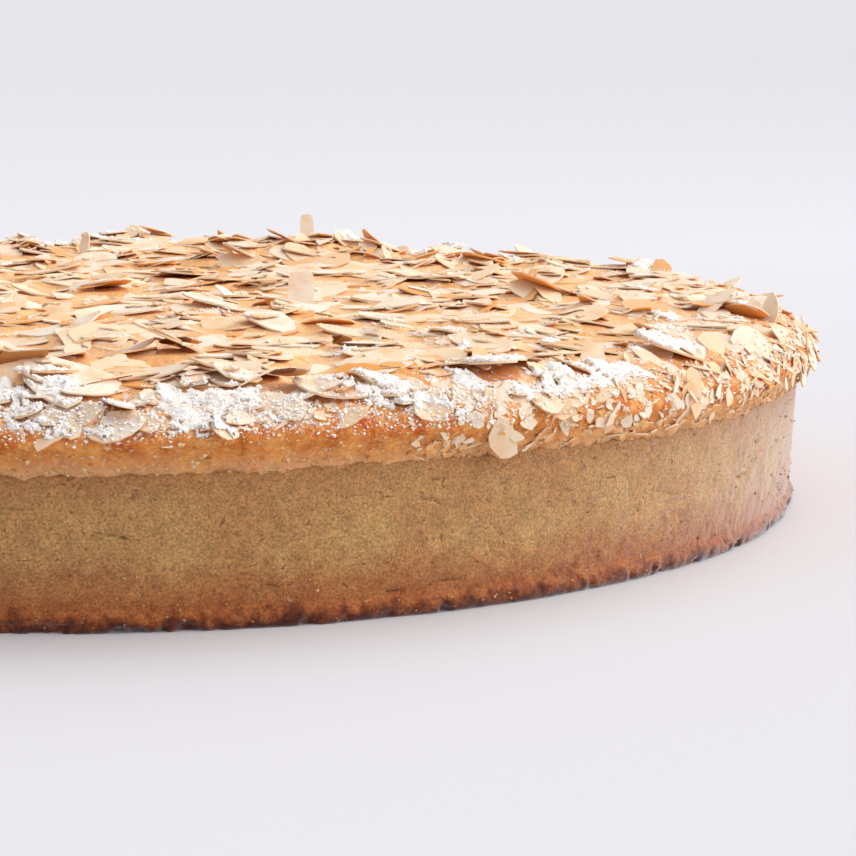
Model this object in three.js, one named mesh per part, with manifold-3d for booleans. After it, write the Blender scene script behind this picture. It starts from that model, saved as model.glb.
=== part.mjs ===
// An apple tart, baked whole in a 26 cm ring: a straight-sided shortcrust case, filled to the brim,
// and a golden domed top that laps over the rim of the case under a scatter of flaked almonds.
// Millimetres, +Z up, origin at the middle of the flat foot.
import * as THREE from "three";
import { mergeVertices } from "three/addons/utils/BufferGeometryUtils.js";
import Module from "manifold-3d";

// Pastry case
const CASE_RADIUS = 130; // the wall just above its foot
const CASE_HEIGHT = 25.2; // foot to the seam under the golden top
const WALL_FLARE = 1.2; // how far the wall leans out on its way up to the rim
const WALL_UNEVEN = 0.35; // slow swell and hollow of the hand-pressed dough
const FOOT_HEIGHT = 2.4; // dough squeezed out under the baking ring
const FOOT_LIP = 0.8; // how far that dough stands out from the wall
const FOOT_CRAG = 0.55; // crumbly edge of the foot, in and out
const RIM_ROUNDING = 0.7;
const SEAM_WAVE = 0.6; // the seam's rise and fall on its way round

// Golden top
const SEAM_GAP = 0.3; // clearance between the case and the top that rests on it
const LIP_OVERHANG = 3.2; // how far the top bulges past the rim
const LIP_NOSE = 4.6; // height of the bulge's nose above the seam
const LIP_CRAG = 0.7; // ragged edge of the bulge, in and out
const SHOULDER_RADIUS = 118; // where the shoulder meets the dome
const SHOULDER_RISE = 7.8; // nose to the top of the shoulder
const DOME_RISE = 1.4; // shoulder to the middle
const TOP_LUMPS = 0.45; // puffs and dips of the baked filling

// Flaked almonds, the largest that lie on the golden top
const FLAKE_COUNT = 168;
const FLAKE_LENGTH = [12, 17];
const FLAKE_SLENDERNESS = [0.5, 0.68]; // width over length
const FLAKE_THICKNESS = 1.0;
const FLAKE_SIDES = 8;
const FLAKE_POINT = 0.28; // how far the outline narrows towards the almond's tip
const FLAKE_TILT = [2, 15]; // degrees off the surface
const FLAKE_SUNK = 0.75; // how deep a flake's low end is baked into the surface
const FLAKE_SPREAD = 127; // radius within which the flakes' middles lie
const STANDING_EVERY = 23; // one flake in this many stands up out of the crust
const STANDING_TILT = 28;
const STANDING_SUNK = 2.2;

// Facets
const CASE_STEPS = 112;
const CURVE_STEPS = 3;
const WALL_RINGS = 3;
const TOP_STEPS = 88;
const LIP_STEPS = 2;
const SHOULDER_STEPS = 5;
const DOME_RINGS = 5;

const RIM_RADIUS = CASE_RADIUS + WALL_FLARE;
const NOSE_RADIUS = RIM_RADIUS + LIP_OVERHANG;
const NOSE_HEIGHT = CASE_HEIGHT + LIP_NOSE;
const SHOULDER_HEIGHT = NOSE_HEIGHT + SHOULDER_RISE;
const GOLDEN_ANGLE = Math.PI * (3 - Math.sqrt(5));

const wasm = await Module();
wasm.setup();

// The minimal standard generator: the same draws on every run.
function seededRandom(seed) {
  const modulus = 2147483647;
  let state = seed;
  return () => {
    state = (state * 48271) % modulus;
    return state / modulus;
  };
}

const between = ([low, high], share) => low + (high - low) * share;

// A smooth ragged line round the tart, from -1 to 1, as waves that close on themselves.
function ripples(seed, fewest, most, count) {
  const random = seededRandom(seed);
  const waves = Array.from({ length: count }, () => ({
    turns: Math.round(between([fewest, most], random())),
    phase: 2 * Math.PI * random(),
    height: between([0.5, 1], random()),
  }));
  const total = waves.reduce((sum, wave) => sum + wave.height, 0);
  return (angle) =>
    waves.reduce(
      (sum, { turns, phase, height }) => sum + height * Math.cos(turns * angle + phase),
      0,
    ) / total;
}

// Smooth puffs over a surface, from -1 to 1, as waves that cross in every direction.
function puffs(seed, shortest, longest, count) {
  const random = seededRandom(seed);
  const waves = Array.from({ length: count }, () => {
    const heading = 2 * Math.PI * random();
    const pitch = (2 * Math.PI) / between([shortest, longest], random());
    return { x: pitch * Math.cos(heading), y: pitch * Math.sin(heading), phase: 2 * Math.PI * random() };
  });
  return (x, y) =>
    waves.reduce((sum, wave) => sum + Math.cos(wave.x * x + wave.y * y + wave.phase), 0) / count;
}

const seamWave = ripples(11, 2, 9, 5);
const wallSwell = ripples(23, 3, 14, 6);
const footCrag = ripples(37, 14, 45, 9);
const lipCrag = ripples(53, 9, 36, 8);
const topPuffs = puffs(71, 16, 46, 9);

const smoothstep = THREE.MathUtils.smoothstep;

// A closed turned body with Z up, each of its points then moved by shape(radius, angle, z).
function turned(profile, steps, shape) {
  const lathe = new THREE.LatheGeometry(profile, steps).rotateX(Math.PI / 2);
  lathe.deleteAttribute("normal");
  lathe.deleteAttribute("uv");
  const body = mergeVertices(lathe, 1e-3);
  const points = body.getAttribute("position");
  for (let i = 0; i < points.count; i++) {
    const [x, y, z] = [points.getX(i), points.getY(i), points.getZ(i)];
    const angle = Math.atan2(y, x);
    const moved = shape(Math.hypot(x, y), angle, z);
    points.setXYZ(i, moved.radius * Math.cos(angle), moved.radius * Math.sin(angle), moved.z);
  }
  return body;
}

// The seam runs level near the middle and waves towards the rim.
const seamLift = (radius, angle) => SEAM_WAVE * seamWave(angle) * smoothstep(radius, 0, RIM_RADIUS);

function pastryCase() {
  const wallFoot = FOOT_HEIGHT + FOOT_LIP;
  const rimEdge = CASE_HEIGHT - RIM_ROUNDING;
  const footEdge = CASE_RADIUS + 2 * FOOT_LIP;
  const outline = new THREE.Path();
  outline.moveTo(0, 0);
  outline.lineTo(CASE_RADIUS - FOOT_LIP, 0);
  outline.bezierCurveTo(footEdge, 0, footEdge, FOOT_HEIGHT, CASE_RADIUS, wallFoot);
  for (let i = 1; i <= WALL_RINGS; i++) {
    const share = i / WALL_RINGS;
    outline.lineTo(CASE_RADIUS + WALL_FLARE * share, between([wallFoot, rimEdge], share));
  }
  outline.quadraticCurveTo(RIM_RADIUS, CASE_HEIGHT, RIM_RADIUS - RIM_ROUNDING, CASE_HEIGHT);
  outline.lineTo(0, CASE_HEIGHT);
  return turned(outline.getPoints(CURVE_STEPS), CASE_STEPS, (radius, angle, z) => {
    const atWall = smoothstep(radius, CASE_RADIUS / 2, CASE_RADIUS);
    const atFoot = 1 - smoothstep(z, 0, wallFoot);
    const ragged = FOOT_CRAG * footCrag(angle) * atFoot + WALL_UNEVEN * wallSwell(angle);
    const lift = seamLift(radius, angle) * smoothstep(z, wallFoot, CASE_HEIGHT);
    return { radius: radius + ragged * atWall, z: z + lift };
  });
}

// Height of the golden top before its puffs.
function topHeight(radius) {
  if (radius <= SHOULDER_RADIUS)
    return SHOULDER_HEIGHT + DOME_RISE * (1 - (radius / SHOULDER_RADIUS) ** 2);
  const out = Math.min((radius - SHOULDER_RADIUS) / (NOSE_RADIUS - SHOULDER_RADIUS), 1);
  return NOSE_HEIGHT + SHOULDER_RISE * Math.sqrt(1 - out ** 2);
}

// How much that height changes over the next millimetre outwards.
const topSlope = (radius) => topHeight(radius + 0.5) - topHeight(radius - 0.5);

function goldenTop() {
  const overRim = RIM_RADIUS - RIM_ROUNDING;
  const underside = CASE_HEIGHT + SEAM_GAP;
  const outline = [new THREE.Vector2(0, underside), new THREE.Vector2(overRim, underside)];
  for (let i = 1; i <= LIP_STEPS; i++) {
    const swing = (Math.PI / 2) * (i / LIP_STEPS);
    outline.push(
      new THREE.Vector2(
        overRim + (NOSE_RADIUS - overRim) * Math.sin(swing),
        NOSE_HEIGHT - (NOSE_HEIGHT - underside) * Math.cos(swing),
      ),
    );
  }
  for (let i = 1; i <= SHOULDER_STEPS; i++) {
    const swing = (Math.PI / 2) * (i / SHOULDER_STEPS);
    const radius = SHOULDER_RADIUS + (NOSE_RADIUS - SHOULDER_RADIUS) * Math.cos(swing);
    outline.push(new THREE.Vector2(radius, topHeight(radius)));
  }
  for (let i = DOME_RINGS - 1; i >= 0; i--) {
    const radius = (SHOULDER_RADIUS * i) / DOME_RINGS;
    outline.push(new THREE.Vector2(radius, topHeight(radius)));
  }
  return turned(outline, TOP_STEPS, (radius, angle, z) => {
    const onTop = smoothstep(z, NOSE_HEIGHT, SHOULDER_HEIGHT);
    const atLip = smoothstep(radius, overRim, NOSE_RADIUS) * (1 - onTop);
    const puff = TOP_LUMPS * topPuffs(radius * Math.cos(angle), radius * Math.sin(angle)) * onTop;
    return { radius: radius + LIP_CRAG * lipCrag(angle) * atLip, z: z + puff + seamLift(radius, angle) };
  });
}

// A sliced almond: an oval that narrows to the tip, cut thin, lying flat with its middle at the origin.
function almondFlake(length, width) {
  const outline = Array.from({ length: FLAKE_SIDES }, (_, i) => {
    const turn = (2 * Math.PI * (i + 0.5)) / FLAKE_SIDES;
    const taper = 1 - FLAKE_POINT * Math.cos(turn);
    return new THREE.Vector2((length / 2) * Math.cos(turn), (width / 2) * Math.sin(turn) * taper);
  });
  const flake = new THREE.ExtrudeGeometry(new THREE.Shape(outline), {
    depth: FLAKE_THICKNESS,
    bevelEnabled: false,
  });
  return flake.translate(0, 0, -FLAKE_THICKNESS / 2);
}

// Where one flake lies: spread evenly like seeds in a sunflower, turned and tilted by the draws.
function flakePlace(index, random) {
  const radius = FLAKE_SPREAD * Math.sqrt((index + 0.5) / FLAKE_COUNT);
  const angle = index * GOLDEN_ANGLE;
  const length = between(FLAKE_LENGTH, random());
  const width = length * between(FLAKE_SLENDERNESS, random());
  const spin = 2 * Math.PI * random();
  const stands = index % STANDING_EVERY === STANDING_EVERY - 1;
  const tilt = THREE.MathUtils.degToRad(stands ? STANDING_TILT : between(FLAKE_TILT, random()));
  const outwards = new THREE.Vector3(Math.cos(angle), Math.sin(angle), topSlope(radius)).normalize();
  const sideways = new THREE.Vector3(-Math.sin(angle), Math.cos(angle), 0);
  const normal = new THREE.Vector3().crossVectors(outwards, sideways);
  const place = new THREE.Matrix4().makeBasis(outwards, sideways, normal);
  const [x, y] = [radius * Math.cos(angle), radius * Math.sin(angle)];
  const puff = TOP_LUMPS * topPuffs(x, y);
  const surface = topHeight(radius) + puff + seamLift(radius, angle);
  const lowEnd = (length * Math.sin(tilt) + FLAKE_THICKNESS) / 2;
  place.setPosition(x, y, surface + lowEnd - (stands ? STANDING_SUNK : FLAKE_SUNK));
  place.multiply(new THREE.Matrix4().makeRotationZ(spin));
  place.multiply(new THREE.Matrix4().makeRotationY(tilt));
  return { length, width, place };
}

function solidOf(geometry) {
  geometry.deleteAttribute("normal");
  geometry.deleteAttribute("uv");
  const merged = mergeVertices(geometry, 1e-3);
  return new wasm.Manifold(
    new wasm.Mesh({
      numProp: 3,
      vertProperties: new Float32Array(merged.getAttribute("position").array),
      triVerts: new Uint32Array(merged.index.array),
    }),
  );
}

function geometryOf(solid) {
  const mesh = solid.getMesh();
  return new THREE.BufferGeometry()
    .setAttribute("position", new THREE.BufferAttribute(mesh.vertProperties, 3))
    .setIndex(new THREE.BufferAttribute(mesh.triVerts, 1));
}

// The golden top with its almonds fused on. Loose scraps and sealed pockets are left out.
function almondTop() {
  const random = seededRandom(97);
  const solids = [solidOf(goldenTop())];
  for (let i = 0; i < FLAKE_COUNT; i++) {
    const { length, width, place } = flakePlace(i, random);
    solids.push(solidOf(almondFlake(length, width).applyMatrix4(place)));
  }
  const bodies = wasm.Manifold.union(solids).decompose();
  bodies.sort((a, b) => b.volume() - a.volume());
  return geometryOf(bodies[0]);
}

function piece(name, geometry, colour, roughness) {
  geometry.computeVertexNormals();
  const material = new THREE.MeshStandardMaterial({ color: colour, roughness, metalness: 0 });
  const mesh = new THREE.Mesh(geometry, material);
  mesh.name = name;
  return mesh;
}

const tart = new THREE.Group();
tart.add(piece("pastry_case", pastryCase(), 0xc09a6b, 0.85));
tart.add(piece("almond_top", almondTop(), 0xe0a65f, 0.6));

export default tart;
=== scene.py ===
"""The looks of a whole apple tart: sandy shortcrust, a golden baked top, flaked almonds and icing sugar."""

import functools
import math

import bpy
import numpy as np
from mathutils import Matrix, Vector
from mathutils.bvhtree import BVHTree


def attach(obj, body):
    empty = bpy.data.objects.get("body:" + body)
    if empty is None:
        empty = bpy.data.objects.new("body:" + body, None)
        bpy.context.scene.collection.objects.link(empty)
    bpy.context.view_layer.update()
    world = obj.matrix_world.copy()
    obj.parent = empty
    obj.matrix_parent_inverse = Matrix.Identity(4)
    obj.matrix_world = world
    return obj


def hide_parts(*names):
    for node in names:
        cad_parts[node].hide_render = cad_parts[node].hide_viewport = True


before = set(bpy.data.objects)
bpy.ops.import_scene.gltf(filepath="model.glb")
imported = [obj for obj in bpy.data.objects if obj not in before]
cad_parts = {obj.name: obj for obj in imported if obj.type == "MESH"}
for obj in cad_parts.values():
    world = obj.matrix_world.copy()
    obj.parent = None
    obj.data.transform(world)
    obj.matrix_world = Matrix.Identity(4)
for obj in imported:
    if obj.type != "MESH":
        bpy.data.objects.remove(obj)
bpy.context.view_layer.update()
MM = 0.001  # sizes are in millimetres unless a comment says otherwise, and every mesh is in metres

# Pastry case and golden top, as in the solids
CASE_RADIUS = 130
CASE_HEIGHT = 25.2
WALL_FLARE = 1.2
WALL_UNEVEN = 0.35
FOOT_HEIGHT = 2.4
FOOT_LIP = 0.8
FOOT_CRAG = 0.55
RIM_ROUNDING = 0.7
SEAM_WAVE = 0.6
LIP_OVERHANG = 3.2
LIP_NOSE = 4.6
LIP_CRAG = 0.7
SHOULDER_RADIUS = 118
SHOULDER_RISE = 7.8
DOME_RISE = 1.4
TOP_LUMPS = 0.45
RIM_RADIUS = CASE_RADIUS + WALL_FLARE
NOSE_RADIUS = RIM_RADIUS + LIP_OVERHANG
NOSE_HEIGHT = CASE_HEIGHT + LIP_NOSE
SHOULDER_HEIGHT = NOSE_HEIGHT + SHOULDER_RISE

# The almonds of the solid's top
FLAKE_COUNT = 168
FLAKE_LENGTH = (12, 17)
FLAKE_SLENDERNESS = (0.5, 0.68)
FLAKE_THICKNESS = 1.0
FLAKE_TILT = (2, 15)
FLAKE_SUNK = 0.75
FLAKE_SPREAD = 127
STANDING_EVERY = 23
STANDING_TILT = 28
STANDING_SUNK = 2.2
GOLDEN_ANGLE = math.pi * (3 - math.sqrt(5))

# The photograph's camera
CAMERA_PLACE = (0, -496.3, 88.4)
CAMERA_YAW = 6.66  # degrees to the right of +Y
CAMERA_PITCH = 8.87  # degrees down
FOCAL_PIXELS = 2439
IMAGE_PIXELS = 856
SENSOR_WIDTH = 36

# Helpers
DOWN = Vector((0, 0, -1))
UP = np.array((0, 0, 1.0))
ABOVE_ALL = 100  # higher than anything on the tart
LATTICE = 256  # cells of a random lattice before it repeats
GENERATOR_FACTOR = 48271
GENERATOR_RANGE = 2**31 - 1
RIPPLE_HEIGHT = (0.5, 1)  # of each wave in a ragged line, against the others
MOSTLY_SMALL = 2  # power of a random share that makes most of the drawn sizes small
LEAST_DIVISOR = 0.01


def between(limits, share):
    return limits[0] + (limits[1] - limits[0]) * share


def smoothstep(value, low, high):
    share = np.clip((value - low) / (high - low), 0, 1)
    return share * share * (3 - 2 * share)


def seeded_random(seed):
    """The minimal standard generator that the solids are drawn with."""
    state = seed
    while True:
        state = (state * GENERATOR_FACTOR) % GENERATOR_RANGE
        yield state / GENERATOR_RANGE


def ripples(seed, fewest, most, count):
    """A ragged line round the tart, from -1 to 1, the same as in the solids."""
    draw = seeded_random(seed)
    waves = []
    for _ in range(count):
        turns = math.floor(between((fewest, most), next(draw)) + 0.5)
        phase = 2 * math.pi * next(draw)
        waves.append((turns, phase, between(RIPPLE_HEIGHT, next(draw))))
    total = sum(height for _, _, height in waves)
    return lambda angle: sum(height * np.cos(turns * angle + phase) for turns, phase, height in waves) / total


def puffs(seed, shortest, longest, count):
    """Smooth puffs over a surface, from -1 to 1, the same as in the solids."""
    draw = seeded_random(seed)
    waves = []
    for _ in range(count):
        heading = 2 * math.pi * next(draw)
        pitch = 2 * math.pi / between((shortest, longest), next(draw))
        waves.append((pitch * math.cos(heading), pitch * math.sin(heading), 2 * math.pi * next(draw)))
    return lambda x, y: sum(np.cos(across * x + along * y + phase) for across, along, phase in waves) / count


seam_wave = ripples(11, fewest=2, most=9, count=5)
wall_swell = ripples(23, fewest=3, most=14, count=6)
foot_crag = ripples(37, fewest=14, most=45, count=9)
lip_crag = ripples(53, fewest=9, most=36, count=8)
top_puffs = puffs(71, shortest=16, longest=46, count=9)


def clouds(x, y, size, seed):
    """Smooth random patches of a given size, from 0 to 1, at any points."""
    lattice = np.random.default_rng(seed).random((LATTICE, LATTICE))
    u, v = np.asarray(x) / size, np.asarray(y) / size
    i, j = np.floor(u).astype(int), np.floor(v).astype(int)
    across, along = smoothstep(u - i, 0, 1), smoothstep(v - j, 0, 1)

    def corner(di, dj):
        return lattice[(i + di) % LATTICE, (j + dj) % LATTICE]

    near = corner(0, 0) * (1 - across) + corner(1, 0) * across
    far = corner(0, 1) * (1 - across) + corner(1, 1) * across
    return near * (1 - along) + far * along


def ragged_round(angle, radius, z, seeds):
    """Coarse and fine patches that close up round the tart; seeds are those of their lattices."""
    along, once_round = angle * radius, 2 * np.pi * radius
    return (clouds(along, z, once_round / (LATTICE * finer), seed) for finer, seed in zip((1, 3), seeds))


def seam_lift(radius, angle):
    return SEAM_WAVE * seam_wave(angle) * smoothstep(radius, 0, RIM_RADIUS)


def top_height(radius):
    """Height of the solid's golden top before its puffs."""
    dome = SHOULDER_HEIGHT + DOME_RISE * (1 - (radius / SHOULDER_RADIUS) ** 2)
    out = np.clip((radius - SHOULDER_RADIUS) / (NOSE_RADIUS - SHOULDER_RADIUS), 0, 1)
    shoulder = NOSE_HEIGHT + SHOULDER_RISE * np.sqrt(1 - out**2)
    return np.where(radius <= SHOULDER_RADIUS, dome, shoulder)


def top_slope(radius):
    """Rise of the golden top over one millimetre outwards."""
    return float(top_height(radius + 0.5) - top_height(radius - 0.5))


# Mesh helpers

def points_of(piece):
    flat = np.empty(len(piece.data.vertices) * 3)
    piece.data.vertices.foreach_get("co", flat)
    return flat.reshape(-1, 3) / MM


def set_points(piece, points):
    piece.data.vertices.foreach_set("co", np.ravel(points * MM))
    piece.data.update()


def set_attribute(piece, name, values):
    attribute = piece.data.attributes.new(name, "FLOAT", "POINT")
    attribute.data.foreach_set("value", np.ascontiguousarray(values, np.float32))


def joined_mesh(name, points, triangles):
    """One piece from arrays of points, in millimetres, and of triangles."""
    mesh = bpy.data.meshes.new(name)
    mesh.from_pydata(points * MM, [], triangles)
    piece = bpy.data.objects.new(name, mesh)
    bpy.context.scene.collection.objects.link(piece)
    return piece


def make_active(piece):
    bpy.ops.object.select_all(action="DESELECT")
    piece.select_set(True)
    bpy.context.view_layer.objects.active = piece


def roughen(piece, size, height, depth):
    """Presses cloudy relief of a given grain size into a piece, and applies it; depth adds finer grain."""
    texture = bpy.data.textures.new(f"{piece.name}_clouds", "CLOUDS")
    texture.noise_scale = size * MM
    texture.noise_depth = depth
    make_active(piece)
    press = piece.modifiers.new("relief", "DISPLACE")
    press.texture = texture
    press.texture_coords = "LOCAL"
    press.strength = height * MM
    press.mid_level = 0.5
    bpy.ops.object.modifier_apply(modifier=press.name)


def finish_piece(piece, material, sharp_angle=None):
    """Gives a piece its finish, smooth but for edges sharper than an angle in degrees, and its body."""
    piece.data.materials.clear()
    piece.data.materials.append(material)
    make_active(piece)
    if sharp_angle is None:
        bpy.ops.object.shade_smooth()
    else:
        bpy.ops.object.shade_smooth_by_angle(angle=math.radians(sharp_angle))
    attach(piece, "root")
    return piece


# Shortcrust wall
WALL_STEPS = 1560
WALL_ROWS = 60
CRACK_COUNT = 120
CRACK_MARGIN = 2.5  # cracks keep this far from the foot and the rim
LOW_CRACKS = 1.3  # over 1, so that more of them are low down
CRACK_LENGTH = (2, 9)
CRACK_DEPTH = (0.25, 0.6)
CRACK_WIDTH = 0.2
CRACK_KNOT = 0.7  # a crack changes direction about this often
CRACK_JITTER = 0.3
CRACK_SLOPE = 0.15
PIT_COUNT = 900
PIT_RADIUS = (0.2, 0.5)
PIT_DEPTH = 0.35
LOW_PITS = 1.4
FOOT_CRUMBLE = 1.3
FOOT_COARSE = 0.6  # share of the coarse patches in the crumbling's noise
FOOT_BROKEN = (0.45, 0.85)  # of that noise, from whole to broken away
FOOT_CRUMBLED = (0.8, 2.8)  # heights between which the crumbling ends
FOOT_UNDER = 0.4  # the foot's bulge begins this far below the floor


def wall_radius(z):
    """The wall's outline: a squeezed-out foot, a lean outwards, a rounded rim."""
    wall_foot = FOOT_HEIGHT + FOOT_LIP
    bulge = FOOT_LIP * np.sin(np.pi * np.clip((z + FOOT_UNDER) / (wall_foot + FOOT_UNDER), 0, 1))
    lean = WALL_FLARE * np.clip((z - wall_foot) / (CASE_HEIGHT - wall_foot), 0, 1)
    into_rim = np.clip((z - CASE_HEIGHT + RIM_ROUNDING) / RIM_ROUNDING, 0, 1)
    return CASE_RADIUS + bulge + lean - RIM_ROUNDING * (1 - np.sqrt(1 - into_rim**2))


def way_round(angle, centre):
    """Distance along the wall from a direction, in millimetres."""
    return ((angle - centre + np.pi) % (2 * np.pi) - np.pi) * CASE_RADIUS


def crust_marks(angle, z):
    """Cracks and pits in the baked wall, as depths in millimetres at each point."""
    rng = np.random.default_rng(5)
    depth = np.zeros_like(z)
    for _ in range(CRACK_COUNT):
        centre = rng.uniform(-np.pi, np.pi)
        level = CRACK_MARGIN + (CASE_HEIGHT - 2 * CRACK_MARGIN) * rng.random() ** LOW_CRACKS
        length = between(CRACK_LENGTH, rng.random() ** MOSTLY_SMALL)
        deepest = between(CRACK_DEPTH, rng.random())
        slope = rng.normal(0, CRACK_SLOPE)
        knots = np.arange(-length / 2, length / 2 + CRACK_KNOT, CRACK_KNOT)
        offsets = np.cumsum(rng.normal(0, CRACK_JITTER, len(knots)))
        away = way_round(angle, centre)
        near = np.flatnonzero(np.abs(away) < length / 2)
        along = away[near]
        path = level + slope * along + np.interp(along, knots, offsets - offsets.mean())
        taper = 1 - (2 * along / length) ** 4
        groove = deepest * taper * np.exp(-(((z[near] - path) / CRACK_WIDTH) ** 2))
        depth[near] = np.maximum(depth[near], groove)
    for _ in range(PIT_COUNT):
        centre = rng.uniform(-np.pi, np.pi)
        level = CASE_HEIGHT * rng.random() ** LOW_PITS
        radius = between(PIT_RADIUS, rng.random() ** MOSTLY_SMALL)
        along = way_round(angle, centre)
        near = np.flatnonzero(np.abs(along) < 2 * radius)
        away = np.hypot(along[near], z[near] - level) / radius
        depth[near] = np.maximum(depth[near], PIT_DEPTH * np.exp(-(away**2)))
    return depth


def foot_crumble(angle, z):
    """How far the crumbly foot has broken away, in millimetres."""
    coarse, fine = ragged_round(angle, CASE_RADIUS, z, (8, 9))
    broken = smoothstep(FOOT_COARSE * coarse + (1 - FOOT_COARSE) * fine, *FOOT_BROKEN)
    return FOOT_CRUMBLE * broken * (1 - smoothstep(z, *FOOT_CRUMBLED))


def crust_wall():
    """The sandy wall of the case: a cylinder in many rows, then its outline, cracks, pits and grain."""
    bpy.ops.object.select_all(action="DESELECT")
    bpy.ops.mesh.primitive_cylinder_add(
        vertices=WALL_STEPS,
        radius=CASE_RADIUS * MM,
        depth=CASE_HEIGHT * MM,
        location=(0, 0, CASE_HEIGHT * MM / 2),
        end_fill_type="NGON",
    )
    wall = bpy.context.object
    wall.name = wall.data.name = "crust_wall"
    bpy.ops.object.transform_apply(location=True, rotation=False, scale=False)
    bpy.ops.object.mode_set(mode="EDIT")
    bpy.ops.mesh.select_mode(type="EDGE")
    bpy.ops.mesh.select_all(action="DESELECT")
    bpy.ops.object.mode_set(mode="OBJECT")
    heights = points_of(wall)[:, 2]
    for edge in wall.data.edges:
        low, high = edge.vertices
        edge.select = abs(heights[low] - heights[high]) > CASE_HEIGHT / 2
    bpy.ops.object.mode_set(mode="EDIT")
    bpy.ops.mesh.subdivide(number_cuts=WALL_ROWS - 1)
    bpy.ops.object.mode_set(mode="OBJECT")

    points = points_of(wall)
    angle, z = np.arctan2(points[:, 1], points[:, 0]), points[:, 2]
    at_foot = 1 - smoothstep(z, 0, FOOT_HEIGHT + FOOT_LIP)
    marks = crust_marks(angle, z)
    radius = wall_radius(z) + WALL_UNEVEN * wall_swell(angle) + FOOT_CRAG * foot_crag(angle) * at_foot
    radius -= marks + foot_crumble(angle, z)
    lift = seam_lift(radius, angle) * smoothstep(z, FOOT_HEIGHT + FOOT_LIP, CASE_HEIGHT)
    set_points(wall, np.column_stack((radius * np.cos(angle), radius * np.sin(angle), z + lift)))
    # The crack and pit depths also tell the finish where to paint shade in them.
    set_attribute(wall, "crack", np.clip(marks / CRACK_DEPTH[1], 0, 1))
    roughen(wall, size=3.5, height=0.35, depth=2)
    roughen(wall, size=0.8, height=0.3, depth=2)
    points = points_of(wall)
    points[:, 2] = np.where(z <= 0, 0, np.maximum(points[:, 2], 0))
    set_points(wall, points)
    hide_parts("pastry_case")
    return finish_piece(wall, shortcrust())


# Golden top
TOP_STEPS = 1200
LIP_RINGS = 11
SHOULDER_RINGS = 24
DOME_RINGS = 44
TOP_SUNK = 0.8  # the golden surface between the almonds lies this far below the solid's
SMOOTH_SIDE = math.radians(-115)  # where the lip grows smoothly out of the wall
SMOOTH_FADE = (0.5, 0.9)  # cosines of the turns from there at which that ends and is full
LIP_TAPER = 1.2
LIP_START = 0.3  # the lip starts this far inside the rim
LIP_TUCK = 0.8  # and this far below it
LIP_SWELL = 0.9  # under 1, so that the lip swells out fastest at its seam
SEAM_RAGGED = 1.1
SEAM_BAND = 2.5  # height over which the ragged seam dies out
SEAM_INSIDE = 1  # it reaches this far inside the rim


def top_rings():
    """Radius and height of each ring, from the underside round the lip and up to the middle."""
    start = RIM_RADIUS - LIP_START
    underside = CASE_HEIGHT - LIP_TUCK
    rings = [(SHOULDER_RADIUS, underside), (start, underside)]
    for i in range(1, LIP_RINGS + 1):
        share = i / LIP_RINGS
        rings.append((
            start + (NOSE_RADIUS - start) * share**LIP_SWELL,
            underside + (NOSE_HEIGHT - underside) * share,
        ))
    for i in range(1, SHOULDER_RINGS + 1):
        swing = math.pi / 2 * i / SHOULDER_RINGS
        radius = SHOULDER_RADIUS + (NOSE_RADIUS - SHOULDER_RADIUS) * math.cos(swing)
        rings.append((radius, float(top_height(radius))))
    for i in range(DOME_RINGS - 1, 0, -1):
        radius = SHOULDER_RADIUS * i / DOME_RINGS
        rings.append((radius, float(top_height(radius))))
    return rings


def golden_top():
    """The golden top: a disc extruded ring by ring, then its puffs, its ragged lip and its lumps."""
    rings = top_rings()
    bpy.ops.object.select_all(action="DESELECT")
    first_radius, first_height = rings[0]
    bpy.ops.mesh.primitive_circle_add(
        vertices=TOP_STEPS,
        radius=first_radius * MM,
        location=(0, 0, first_height * MM),
        fill_type="NGON",
    )
    top = bpy.context.object
    top.name = top.data.name = "golden_top"
    bpy.ops.object.transform_apply(location=True, rotation=False, scale=False)
    bpy.ops.object.mode_set(mode="EDIT")
    bpy.ops.mesh.select_mode(type="EDGE")
    bpy.ops.mesh.select_all(action="SELECT")
    for (radius, height), (next_radius, next_height) in zip(rings, rings[1:]):
        rise = (0, 0, (next_height - height) * MM)
        bpy.ops.mesh.extrude_edges_move(TRANSFORM_OT_translate={"value": rise})
        share = next_radius / radius
        bpy.ops.transform.resize(value=(share, share, 1), center_override=(0, 0, next_height * MM))
    bpy.ops.mesh.edge_face_add()
    bpy.ops.mesh.select_all(action="SELECT")
    bpy.ops.mesh.normals_make_consistent(inside=False)
    bpy.ops.object.mode_set(mode="OBJECT")

    points = points_of(top)
    x, y, z = points.T
    radius, angle = np.hypot(x, y), np.arctan2(y, x)
    on_top = smoothstep(z, NOSE_HEIGHT, SHOULDER_HEIGHT)
    at_lip = smoothstep(radius, RIM_RADIUS - RIM_ROUNDING, NOSE_RADIUS) * (1 - on_top)
    z = z + seam_lift(radius, angle) + (TOP_LUMPS * top_puffs(x, y) - TOP_SUNK) * on_top
    coarse, fine = ragged_round(angle, RIM_RADIUS, z, (14, 15))
    outside = radius > RIM_RADIUS - SEAM_INSIDE
    at_seam = (1 - smoothstep(z, CASE_HEIGHT, CASE_HEIGHT + SEAM_BAND)) * outside
    z = z + SEAM_RAGGED * (coarse + fine - 1) * at_seam
    smooth_side = smoothstep(np.cos(angle - SMOOTH_SIDE), *SMOOTH_FADE)
    under_nose = np.clip((NOSE_HEIGHT - z) / (LIP_NOSE + LIP_TUCK), 0, 1) * at_lip
    radius = radius + LIP_CRAG * lip_crag(angle) * at_lip - LIP_TAPER * smooth_side * under_nose
    set_points(top, np.column_stack((radius * np.cos(angle), radius * np.sin(angle), z)))
    roughen(top, size=6, height=1, depth=2)
    roughen(top, size=1.7, height=0.8, depth=3)
    return top


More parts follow.
